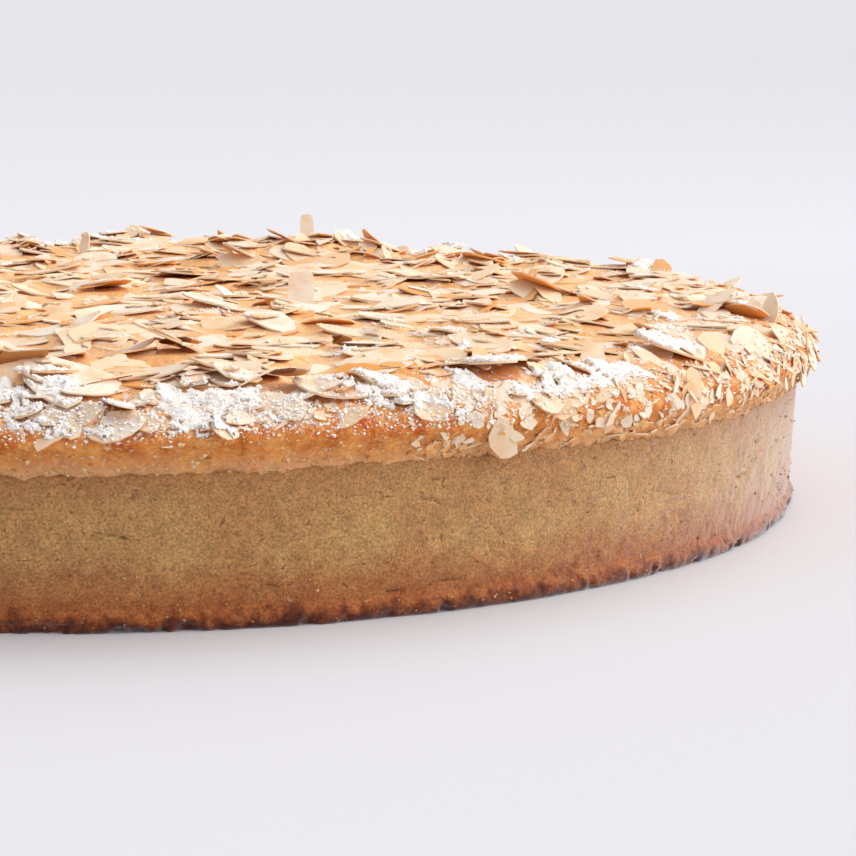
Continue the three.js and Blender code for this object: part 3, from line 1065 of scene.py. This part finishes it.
def lumps(name, rng, form, middles, sizes):
    """Small rough lumps, joined into one piece."""
    corners, faces = form
    count, size = len(middles), len(corners)
    stretched = corners[None] * rng.uniform(*LUMP_STRETCH, (count, size, 1))
    x, y, z = (stretched + rng.normal(0, LUMP_JITTER, (count, size, 3))).transpose(2, 0, 1)
    spin = rng.uniform(0, 2 * np.pi, count)[:, None]
    cosine, sine = np.cos(spin), np.sin(spin)
    turned = np.stack((x * cosine - y * sine, x * sine + y * cosine, z * LUMP_FLATNESS), 2)
    points = turned * sizes[:, None, None] + middles[:, None, :]
    triangles = faces[None] + np.arange(count)[:, None, None] * size
    return joined_mesh(name, points.reshape(-1, 3), triangles.reshape(-1, 3))


SPRINKLE_TRIES = 14  # points tried for each lump that is kept
SPRINKLE_BEYOND = 0.12  # chance away from the drifts, for each unit of spread
SPRINKLE_UPRIGHT = 0.2  # on steeper ground lumps slide off


def sprinkle(name, tree, seed, form, count, radii, spread):
    """Sugar that fell in separate lumps: more where the drifts are, and some beyond."""
    rng = np.random.default_rng(seed)
    tries = SPRINKLE_TRIES * count
    radius = np.sqrt(rng.uniform(0, NOSE_RADIUS**2, tries))
    angle = rng.uniform(-np.pi, np.pi, tries)
    x, y = radius * np.cos(angle), radius * np.sin(angle)
    z = top_height(radius)
    chance = sugar_cover(x, y, z, spread) + spread * SPRINKLE_BEYOND
    kept = np.flatnonzero(rng.random(tries) < chance)[:count]
    x, y = x[kept], y[kept]
    height, upright = drop(tree, x, y)
    on = (height > 0) & (upright > SPRINKLE_UPRIGHT)
    sizes = between(radii, rng.random(on.sum()) ** MOSTLY_SMALL)
    middles = np.column_stack((x[on], y[on], height[on] + LUMP_PROUD * sizes))
    piece = lumps(name, rng, form, middles, sizes)
    return finish_piece(piece, icing_sugar(), sharp_angle=30)


# Caramelised crumbs and specks of sugar on the lip
CRUMB_COUNT = 9000
CRUMB_RADIUS = (0.15, 0.6)
CRUMB_SMALLNESS = 2.5  # in place of MOSTLY_SMALL, so that still fewer are large
CRUMB_SWINGS = (-0.85, 1.2)  # angles up from level, in radians
CRUMB_BUNCHING = 1.3  # over 1, so that more of them are low down
SPECK_SWINGS = (-0.1, 1.2)
SPECK_BUNCHING = 0.9
SPECK_TRIES = 4  # points tried for each speck that is kept
SPECK_FADE = (-0.1, 0.35)  # shares of the way up between which they set in
SPECK_UPRIGHT = 0.05  # on steeper ground specks slide off
SPECK_THINNING = 0.75  # share of the specks that is missing at the right
SPECK_THINS = (35, 100)  # distances to the right between which that sets in
LIP_DEPTH = 8  # the lip is felt towards a circle this far inside the nose
LIP_DISTANCE = 20  # from this far off
LIP_SECTION = 10  # radius of its section, about


def lip_spots(tree, rng, count, swings, bunching):
    """Points of the lip and shoulder, the surface's directions there, and places along and up it."""
    spots, normals, places = [], [], []
    for angle, share in zip(rng.uniform(-np.pi, np.pi, count), rng.random(count) ** bunching):
        out = np.array((math.cos(angle), math.sin(angle), 0))
        swing = between(swings, share)
        away = math.cos(swing) * out + np.array((0, 0, math.sin(swing)))
        aim = (NOSE_RADIUS - LIP_DEPTH) * out + np.array((0, 0, NOSE_HEIGHT))
        hit, normal, _, _ = tree.ray_cast(Vector((aim + LIP_DISTANCE * away) * MM), Vector(-away))
        if hit:
            spots.append(hit)
            normals.append(normal)
            places.append((angle * NOSE_RADIUS, swing * LIP_SECTION, share))
    return np.array(spots) / MM, np.array(normals), np.array(places)


def lip_crumbs(top):
    """Crumbs of baked sugar and almond along the lip and the lower shoulder."""
    rng = np.random.default_rng(53)
    spots, _, _ = lip_spots(ground_under([top]), rng, CRUMB_COUNT, CRUMB_SWINGS, CRUMB_BUNCHING)
    sizes = between(CRUMB_RADIUS, rng.random(len(spots)) ** CRUMB_SMALLNESS)
    piece = lumps("lip_crumbs", rng, EIGHT_SIDED, spots, sizes)
    set_attribute(piece, "tone", np.repeat(rng.random(len(spots)), len(EIGHT_SIDED[0])))
    return finish_piece(piece, caramel_crumb(), sharp_angle=40)


def lip_sugar(tree):
    """Specks and clumps of sugar caught on the shoulder's slope, thinning out down to the lip."""
    rng = np.random.default_rng(59)
    tries = SPECK_TRIES * SPECK_COUNT
    spots, normals, places = lip_spots(tree, rng, tries, SPECK_SWINGS, SPECK_BUNCHING)
    along, up, share = places.T
    x, y, _ = spots.T
    chance = sugar_drift(along, up) * smoothstep(share, *SPECK_FADE) * sugar_sides(x, y) ** 2
    chance *= 1 - SPECK_THINNING * smoothstep(x, *SPECK_THINS)
    caught = (normals[:, 2] > SPECK_UPRIGHT) & (rng.random(len(spots)) < chance)
    kept = np.flatnonzero(caught)[:SPECK_COUNT]
    sizes = between(SPECK_RADIUS, rng.random(len(kept)) ** MOSTLY_SMALL)
    middles = spots[kept] + LUMP_PROUD * sizes[:, None] * normals[kept]
    piece = lumps("sugar_specks", rng, EIGHT_SIDED, middles, sizes)
    return finish_piece(piece, icing_sugar(), sharp_angle=30)


# Pastry crumbs
WALL_CRUMB_COUNT = 1500
WALL_CRUMB_RADIUS = (0.1, 0.4)
WALL_CRUMB_HEIGHT = (0.8, CASE_HEIGHT - 1.5)
LOW_CRUMBS = 1.8


def wall_crumbs(wall):
    """Loose crumbs clinging to the wall, most of them low down."""
    tree = ground_under([wall])
    rng = np.random.default_rng(61)
    spots = []
    for angle, share in zip(rng.uniform(-np.pi, np.pi, WALL_CRUMB_COUNT), rng.random(WALL_CRUMB_COUNT)):
        out = np.array((math.cos(angle), math.sin(angle), 0))
        level = np.array((0, 0, between(WALL_CRUMB_HEIGHT, share**LOW_CRUMBS)))
        hit = tree.ray_cast(Vector((REACH * out + level) * MM), Vector(-out))[0]
        if hit:
            spots.append(hit)
    sizes = between(WALL_CRUMB_RADIUS, rng.random(len(spots)) ** MOSTLY_SMALL)
    piece = lumps("wall_crumbs", rng, EIGHT_SIDED, np.array(spots) / MM, sizes)
    set_attribute(piece, "tone", np.repeat(rng.random(len(spots)), len(EIGHT_SIDED[0])))
    return finish_piece(piece, pastry_crumb(), sharp_angle=40)


# Finishes

def colour(code):
    """An sRGB hex colour as linear RGBA."""
    parts = [int(code[i : i + 2], 16) / 255 for i in (1, 3, 5)]
    return tuple(p / 12.92 if p <= 0.04045 else ((p + 0.055) / 1.055) ** 2.4 for p in parts) + (1,)


def add(tree, kind, inputs=None, **settings):
    """Adds a node with its settings, and fills its inputs with values or other nodes' outputs.

    A Map Range takes its value at input 0, the old limits at 1 and 2 and the new ones at 3 and 4. A colour
    Mix takes its share at 0 and the two colours at 6 and 7, and gives the mixed one at output 2.
    """
    node = tree.nodes.new(kind)
    for name, value in settings.items():
        setattr(node, name, value)
    for name, value in (inputs or {}).items():
        if isinstance(value, bpy.types.NodeSocket):
            tree.links.new(value, node.inputs[name])
        else:
            node.inputs[name].default_value = value
    return node


def tint(tree, under, value, limits, weight, code):
    """A colour laid over another, from none at a value's first limit to its full weight at the second."""
    share = add(tree, "ShaderNodeMapRange", {0: value, 1: limits[0], 2: limits[1], 3: 0.0, 4: weight})
    layers = {0: share.outputs[0], 6: under, 7: colour(code)}
    return add(tree, "ShaderNodeMix", layers, data_type="RGBA").outputs[2]


def per_mm(size):
    """Texture scale of a pattern that repeats about every size millimetres."""
    return 1 / (size * MM)


def new_material(name):
    """An empty material, its nodes and its Object coordinates."""
    material = bpy.data.materials.new(name)
    material.use_nodes = True
    material.node_tree.nodes.clear()
    tree = material.node_tree
    return material, tree, add(tree, "ShaderNodeTexCoord").outputs["Object"]


def shortcrust():
    """Shortcrust baked against a ring: matte and sandy, with painted shade in its cracks and pits, browner at
    the foot and under the lip.
    """
    material, tree, place = new_material("baked_shortcrust")
    height = add(tree, "ShaderNodeSeparateXYZ", {0: place}).outputs["Z"]
    grain = add(tree, "ShaderNodeTexNoise", {
        "Vector": place, "Scale": per_mm(0.42), "Detail": 4.0, "Roughness": 0.65,
    }).outputs["Fac"]
    mottle = add(tree, "ShaderNodeTexNoise", {
        "Vector": place, "Scale": per_mm(2.6), "Detail": 4.0, "Roughness": 0.6,
    }).outputs["Fac"]
    blotch = add(tree, "ShaderNodeTexNoise", {
        "Vector": place, "Scale": per_mm(11), "Detail": 3.0,
    }).outputs["Fac"]

    sandy = tint(tree, colour("#B3804D"), blotch, (0.36, 0.64), 1, "#BB8F57")
    ragged = add(tree, "ShaderNodeMapRange", {0: mottle, 1: 0.3, 2: 0.7, 3: -1.6 * MM, 4: 1.6 * MM})
    level = add(tree, "ShaderNodeMath", {0: height, 1: ragged.outputs[0]}).outputs[0]
    browned = tint(tree, sandy, level, (11.5 * MM, 2 * MM), 0.95, "#A05221")
    scorched = tint(tree, browned, level, (3.2 * MM, 0.3 * MM), 0.95, "#4A1403")
    golden = tint(tree, scorched, level, (20 * MM, 26 * MM), 0.8, "#AA7142")

    speckle = add(tree, "ShaderNodeMapRange", {0: grain, 1: 0.34, 2: 0.66, 3: 0.56, 4: 1.32})
    uneven = add(tree, "ShaderNodeMapRange", {0: mottle, 1: 0.3, 2: 0.7, 3: 0.8, 4: 1.14})
    strength = add(tree, "ShaderNodeMath", {
        0: speckle.outputs[0], 1: uneven.outputs[0],
    }, operation="MULTIPLY")
    sandier = add(tree, "ShaderNodeVectorMath", {
        0: golden, "Scale": strength.outputs[0],
    }, operation="SCALE")

    shift = add(tree, "ShaderNodeTexNoise", {
        "Vector": place, "Scale": per_mm(0.8), "Detail": 4.0,
    }).outputs["Color"]
    bent = add(tree, "ShaderNodeVectorMath", {
        0: shift, 1: (1 * MM, 1 * MM, 1 * MM), 2: place,
    }, operation="MULTIPLY_ADD")
    squashed = add(tree, "ShaderNodeVectorMath", {0: bent.outputs[0], 1: (1, 1, 3.2)}, operation="MULTIPLY")
    seams = add(tree, "ShaderNodeTexVoronoi", {
        "Vector": squashed.outputs[0], "Scale": per_mm(6.5),
    }, feature="DISTANCE_TO_EDGE").outputs["Distance"]
    hairline = add(tree, "ShaderNodeMapRange", {0: seams, 1: 0.008, 2: 0.035, 3: 1.0, 4: 0.0})
    sparse = add(tree, "ShaderNodeMapRange", {0: mottle, 1: 0.56, 2: 0.62})
    fissure = add(tree, "ShaderNodeMath", {
        0: hairline.outputs[0], 1: sparse.outputs[0],
    }, operation="MULTIPLY")
    marks = add(tree, "ShaderNodeAttribute", attribute_name="crack")
    open_crack = add(tree, "ShaderNodeMapRange", {0: marks.outputs["Fac"], 1: 0.25, 2: 0.8})
    dark = add(tree, "ShaderNodeMath", {
        0: fissure.outputs[0], 1: open_crack.outputs[0],
    }, operation="MAXIMUM")
    shaded = add(tree, "ShaderNodeMath", {0: dark.outputs[0], 1: 0.7}, operation="MULTIPLY")
    # Cracks and pits are painted dark brown: painted shade in the grooves that the relief and bump carve.
    crack_shaded = add(tree, "ShaderNodeMix", {
        0: shaded.outputs[0], 6: sandier.outputs[0], 7: colour("#5D351B"),
    }, data_type="RGBA")

    relief = add(tree, "ShaderNodeMath", {0: fissure.outputs[0], 1: -0.8, 2: grain}, operation="MULTIPLY_ADD")
    bump = add(tree, "ShaderNodeBump", {"Height": relief.outputs[0], "Strength": 0.6, "Distance": 0.22 * MM})
    shader = add(tree, "ShaderNodeBsdfPrincipled", {
        "Base Color": crack_shaded.outputs[2],
        "Roughness": 0.8,
        "IOR": 1.45,
        "Specular IOR Level": 0.3,
        "Sheen Weight": 0.95,
        "Sheen Roughness": 0.4,
        "Normal": bump.outputs[0],
    })
    add(tree, "ShaderNodeOutputMaterial", {"Surface": shader.outputs[0]})
    return material


def dusting(tree, place):
    """Share of a surface hidden by fine icing sugar: what faces up, and most in a ring inside the rim."""
    ring = add(tree, "ShaderNodeAttribute", attribute_name="dust").outputs["Fac"]
    patch = add(tree, "ShaderNodeTexNoise", {
        "Vector": place, "Scale": per_mm(24), "Detail": 2.0,
    }).outputs["Fac"]
    strewn = add(tree, "ShaderNodeMapRange", {0: patch, 1: 0.5, 2: 0.68, 3: 0.0, 4: 0.45})
    thickness = add(tree, "ShaderNodeMath", {0: ring, 1: strewn.outputs[0]}, operation="MAXIMUM")
    powder = add(tree, "ShaderNodeTexNoise", {
        "Vector": place, "Scale": per_mm(1.3), "Detail": 5.0, "Roughness": 0.75,
    }).outputs["Fac"]
    limit = add(tree, "ShaderNodeMapRange", {0: thickness.outputs[0], 3: 0.66, 4: 0.42})
    above = add(tree, "ShaderNodeMath", {0: powder, 1: limit.outputs[0]}, operation="SUBTRACT")
    grains = add(tree, "ShaderNodeMapRange", {0: above.outputs[0], 1: 0.0, 2: 0.1, 3: 0.0, 4: 0.9})
    facing = add(tree, "ShaderNodeSeparateXYZ", {0: add(tree, "ShaderNodeNewGeometry").outputs["Normal"]})
    upright = add(tree, "ShaderNodeMapRange", {0: facing.outputs["Z"], 1: 0.25, 2: 0.8})
    share = add(tree, "ShaderNodeMath", {0: grains.outputs[0], 1: upright.outputs[0]}, operation="MULTIPLY")
    return share.outputs[0]


def baked_glaze():
    """Egg-rich batter baked golden and crusty, with a soft sugar shine and a dusting of icing sugar."""
    material, tree, place = new_material("golden_baked_glaze")
    lumpy = add(tree, "ShaderNodeTexNoise", {
        "Vector": place, "Scale": per_mm(4), "Detail": 5.0, "Roughness": 0.65,
    }).outputs["Fac"]
    grain = add(tree, "ShaderNodeTexNoise", {
        "Vector": place, "Scale": per_mm(0.7), "Detail": 3.0, "Roughness": 0.6,
    }).outputs["Fac"]
    golden = tint(tree, colour("#BC580E"), lumpy, (0.34, 0.66), 1, "#EEA858")
    height = add(tree, "ShaderNodeSeparateXYZ", {0: place}).outputs["Z"]
    paler = tint(tree, golden, height, (34.5 * MM, 37.5 * MM), 0.6, "#F2C48C")
    ragged = add(tree, "ShaderNodeMapRange", {0: lumpy, 1: 0.3, 2: 0.7, 3: -1.5 * MM, 4: 1.5 * MM})
    level = add(tree, "ShaderNodeMath", {0: height, 1: ragged.outputs[0]}).outputs[0]
    pastry = tint(tree, paler, level, (28 * MM, 25 * MM), 0.8, "#DEA878")
    granular = tint(tree, pastry, grain, (0.52, 0.7), 0.55, "#F0C48C")
    sugared = add(tree, "ShaderNodeMix", {
        0: dusting(tree, place), 6: granular, 7: colour("#EBE1D8"),
    }, data_type="RGBA")
    bump = add(tree, "ShaderNodeBump", {"Height": grain, "Strength": 0.7, "Distance": 0.4 * MM})
    shader = add(tree, "ShaderNodeBsdfPrincipled", {
        "Base Color": sugared.outputs[2],
        "Roughness": 0.45,
        "IOR": 1.45,
        "Specular IOR Level": 0.25,
        "Subsurface Weight": 0.5,
        "Subsurface Radius": (1.0, 0.55, 0.3),
        "Subsurface Scale": 1.5 * MM,
        "Normal": bump.outputs[0],
    })
    add(tree, "ShaderNodeOutputMaterial", {"Surface": shader.outputs[0]})
    return material


def pastry_crumb():
    """Crumbs of shortcrust, from well browned to pale."""
    material, tree, _ = new_material("shortcrust_crumb")
    tone = add(tree, "ShaderNodeAttribute", attribute_name="tone").outputs["Fac"]
    baked = add(tree, "ShaderNodeMix", {
        0: tone, 6: colour("#864E24"), 7: colour("#C9A77C"),
    }, data_type="RGBA")
    shader = add(tree, "ShaderNodeBsdfPrincipled", {
        "Base Color": baked.outputs[2],
        "Roughness": 0.8,
        "IOR": 1.45,
    })
    add(tree, "ShaderNodeOutputMaterial", {"Surface": shader.outputs[0]})
    return material


def caramel_crumb():
    """Crumbs of almond and sugar baked amber and glossy."""
    material, tree, _ = new_material("caramelised_crumb")
    tone = add(tree, "ShaderNodeAttribute", attribute_name="tone").outputs["Fac"]
    amber = add(tree, "ShaderNodeMix", {
        0: tone, 6: colour("#CC7A32"), 7: colour("#F4D2A4"),
    }, data_type="RGBA")
    shader = add(tree, "ShaderNodeBsdfPrincipled", {
        "Base Color": amber.outputs[2],
        "Roughness": 0.3,
        "IOR": 1.5,
        "Subsurface Weight": 0.4,
        "Subsurface Radius": (1.0, 0.5, 0.2),
        "Subsurface Scale": 1 * MM,
    })
    add(tree, "ShaderNodeOutputMaterial", {"Surface": shader.outputs[0]})
    return material


@functools.cache
def sliced_almond():
    """Blanched almond sliced thin and toasted: creamy, a little translucent, some with a brown rim, with a
    painted orange glow on faces turned down.
    """
    material, tree, place = new_material("toasted_sliced_almond")
    tone = add(tree, "ShaderNodeAttribute", attribute_name="tone").outputs["Fac"]
    rim = add(tree, "ShaderNodeAttribute", attribute_name="rim").outputs["Fac"]
    skin = add(tree, "ShaderNodeAttribute", attribute_name="skin").outputs["Fac"]
    cloudy = add(tree, "ShaderNodeTexNoise", {
        "Vector": place, "Scale": per_mm(5), "Detail": 3.0,
    }).outputs["Fac"]
    cream = tint(tree, colour("#E7D9C5"), tone, (0, 0.7), 1, "#E7CAA5")
    patch = add(tree, "ShaderNodeMapRange", {0: cloudy, 1: 0.48, 2: 0.72, 3: 0.0, 4: 0.45})
    amber = add(tree, "ShaderNodeMapRange", {0: tone, 1: 0.82, 2: 1.0})
    browning = add(tree, "ShaderNodeMath", {0: patch.outputs[0], 1: amber.outputs[0]}, operation="MAXIMUM")
    golden = add(tree, "ShaderNodeMix", {
        0: browning.outputs[0], 6: cream, 7: colour("#E09A4C"),
    }, data_type="RGBA")
    # Faces turned down are painted bright orange: a painted glow for light seeping through the thin flakes
    # and warm shade under them.
    facing = add(tree, "ShaderNodeSeparateXYZ", {0: add(tree, "ShaderNodeNewGeometry").outputs["Normal"]})
    painted_underside_glow = tint(tree, golden.outputs[2], facing.outputs["Z"], (-0.25, -0.6), 0.85, "#F0A854")
    sugared = add(tree, "ShaderNodeMix", {
        0: dusting(tree, place), 6: painted_underside_glow, 7: colour("#EBE2DA"),
    }, data_type="RGBA")
    husk = add(tree, "ShaderNodeMath", {0: rim, 1: skin}).outputs[0]
    skinned = tint(tree, sugared.outputs[2], husk, (1.8, 1.97), 0.9, "#6E3418")
    shader = add(tree, "ShaderNodeBsdfPrincipled", {
        "Base Color": skinned,
        "Roughness": 0.6,
        "IOR": 1.45,
        "Specular IOR Level": 0.25,
        "Subsurface Weight": 0.25,
        "Subsurface Radius": (1.0, 1.0, 1.0),
        "Subsurface Scale": 0.45 * MM,
    })
    add(tree, "ShaderNodeOutputMaterial", {"Surface": shader.outputs[0]})
    return material


@functools.cache
def icing_sugar():
    """Icing sugar: a matte white powder that light seeps into."""
    material, tree, place = new_material("icing_sugar_powder")
    # The powder's own grain is too fine to show, so it is drawn about ten times as coarse
    grain = add(tree, "ShaderNodeTexNoise", {
        "Vector": place, "Scale": per_mm(0.45), "Detail": 3.0, "Roughness": 0.6,
    }).outputs["Fac"]
    powder = tint(tree, colour("#F5EADF"), grain, (0.36, 0.6), 1, "#FBF8F5")
    bump = add(tree, "ShaderNodeBump", {"Height": grain, "Strength": 0.5, "Distance": 0.2 * MM})
    shader = add(tree, "ShaderNodeBsdfPrincipled", {
        "Base Color": powder,
        "Normal": bump.outputs[0],
        "Roughness": 0.9,
        "IOR": 1.3,
        "Subsurface Weight": 0.3,
        "Subsurface Radius": (1.0, 1.0, 1.0),
        "Subsurface Scale": 0.1 * MM,
    })
    add(tree, "ShaderNodeOutputMaterial", {"Surface": shader.outputs[0]})
    return material


LIGHT_POOL_MIDDLE = (0.35, 0.55, 0)  # metres; middle of the pool of light painted on the floor
LIGHT_POOL_FADE = 0.8  # metres; the painted pool of light is half faded this far away


def pale_floor():
    """White paper with a painted pool of light: brighter round the tart than far away."""
    material, tree, place = new_material("matte_white_paper")
    away = add(tree, "ShaderNodeVectorMath", {
        0: place, 1: LIGHT_POOL_MIDDLE,
    }, operation="DISTANCE").outputs["Value"]
    further = add(tree, "ShaderNodeMath", {0: away, 1: LIGHT_POOL_FADE})
    far = add(tree, "ShaderNodeMath", {0: away, 1: further.outputs[0]}, operation="DIVIDE")
    # Painted light: the paper is paler in a pool round the tart and darker far away.
    paper = add(tree, "ShaderNodeMix", {
        0: far.outputs[0], 6: colour("#D4D3D5"), 7: colour("#C8C7C9"),
    }, data_type="RGBA")
    shader = add(tree, "ShaderNodeBsdfPrincipled", {
        "Base Color": paper.outputs[2],
        "Roughness": 1.0,
        "Specular IOR Level": 0.0,
    })
    add(tree, "ShaderNodeOutputMaterial", {"Surface": shader.outputs[0]})
    return material


# Studio
FLOOR_SIZE = 30  # metres
SKY_LIGHT = 0.67
SKY_SEEN = 0.83  # the backdrop, as bright as the lit floor far away
WINDOW_LIGHT = 4.3
WINDOW_SPREAD = 105  # degrees across, so that shadows are very soft
WINDOW_FROM = (0.92, 0.15, 0.54)


def studio():
    """A white floor, an even sky and one broad soft light from the right."""
    bpy.ops.object.select_all(action="DESELECT")
    bpy.ops.mesh.primitive_plane_add(size=FLOOR_SIZE)
    floor = bpy.context.object
    floor.name = "floor"
    floor.data.materials.append(pale_floor())

    world = bpy.data.worlds.new("white_studio")
    bpy.context.scene.world = world
    world.use_nodes = True
    tree = world.node_tree
    tree.nodes.clear()
    seen = add(tree, "ShaderNodeLightPath").outputs["Is Camera Ray"]
    strength = add(tree, "ShaderNodeMapRange", {0: seen, 3: SKY_LIGHT, 4: SKY_SEEN})
    sky = add(tree, "ShaderNodeBackground", {"Color": colour("#FAF9FF"), "Strength": strength.outputs[0]})
    add(tree, "ShaderNodeOutputWorld", {"Surface": sky.outputs[0]})

    light = bpy.data.lights.new("window_light", "SUN")
    light.energy = WINDOW_LIGHT
    light.angle = math.radians(WINDOW_SPREAD)
    window = bpy.data.objects.new("window_light", light)
    window.rotation_euler = (-Vector(WINDOW_FROM)).to_track_quat("-Z", "Y").to_euler()
    bpy.context.scene.collection.objects.link(window)


def camera():
    """The photograph's view."""
    lens = bpy.data.cameras.new("camera")
    lens.sensor_width = SENSOR_WIDTH
    lens.lens = SENSOR_WIDTH * FOCAL_PIXELS / IMAGE_PIXELS
    holder = bpy.data.objects.new("camera", lens)
    holder.location = Vector(CAMERA_PLACE) * MM
    holder.rotation_euler = (math.radians(90 - CAMERA_PITCH), 0, math.radians(-CAMERA_YAW))
    bpy.context.scene.collection.objects.link(holder)
    bpy.context.scene.camera = holder


bpy.context.scene.view_settings.view_transform = "Standard"
camera()
studio()
wall = crust_wall()
top = golden_top()
flakes = almonds(top)
finish_top(top)
drifts = sugar_drifts(ground_under([top, *flakes]))
ground = ground_under([top, *flakes, drifts])
lip_crumbs(top)
wall_crumbs(wall)
lip_sugar(ground)
sprinkle("sugar_clumps", ground, 37, EIGHT_SIDED, CLUMP_COUNT, CLUMP_RADIUS, spread=0)
sprinkle("sugar_grains", ground, 41, FOUR_SIDED, GRAIN_COUNT, GRAIN_RADIUS, spread=0.2)
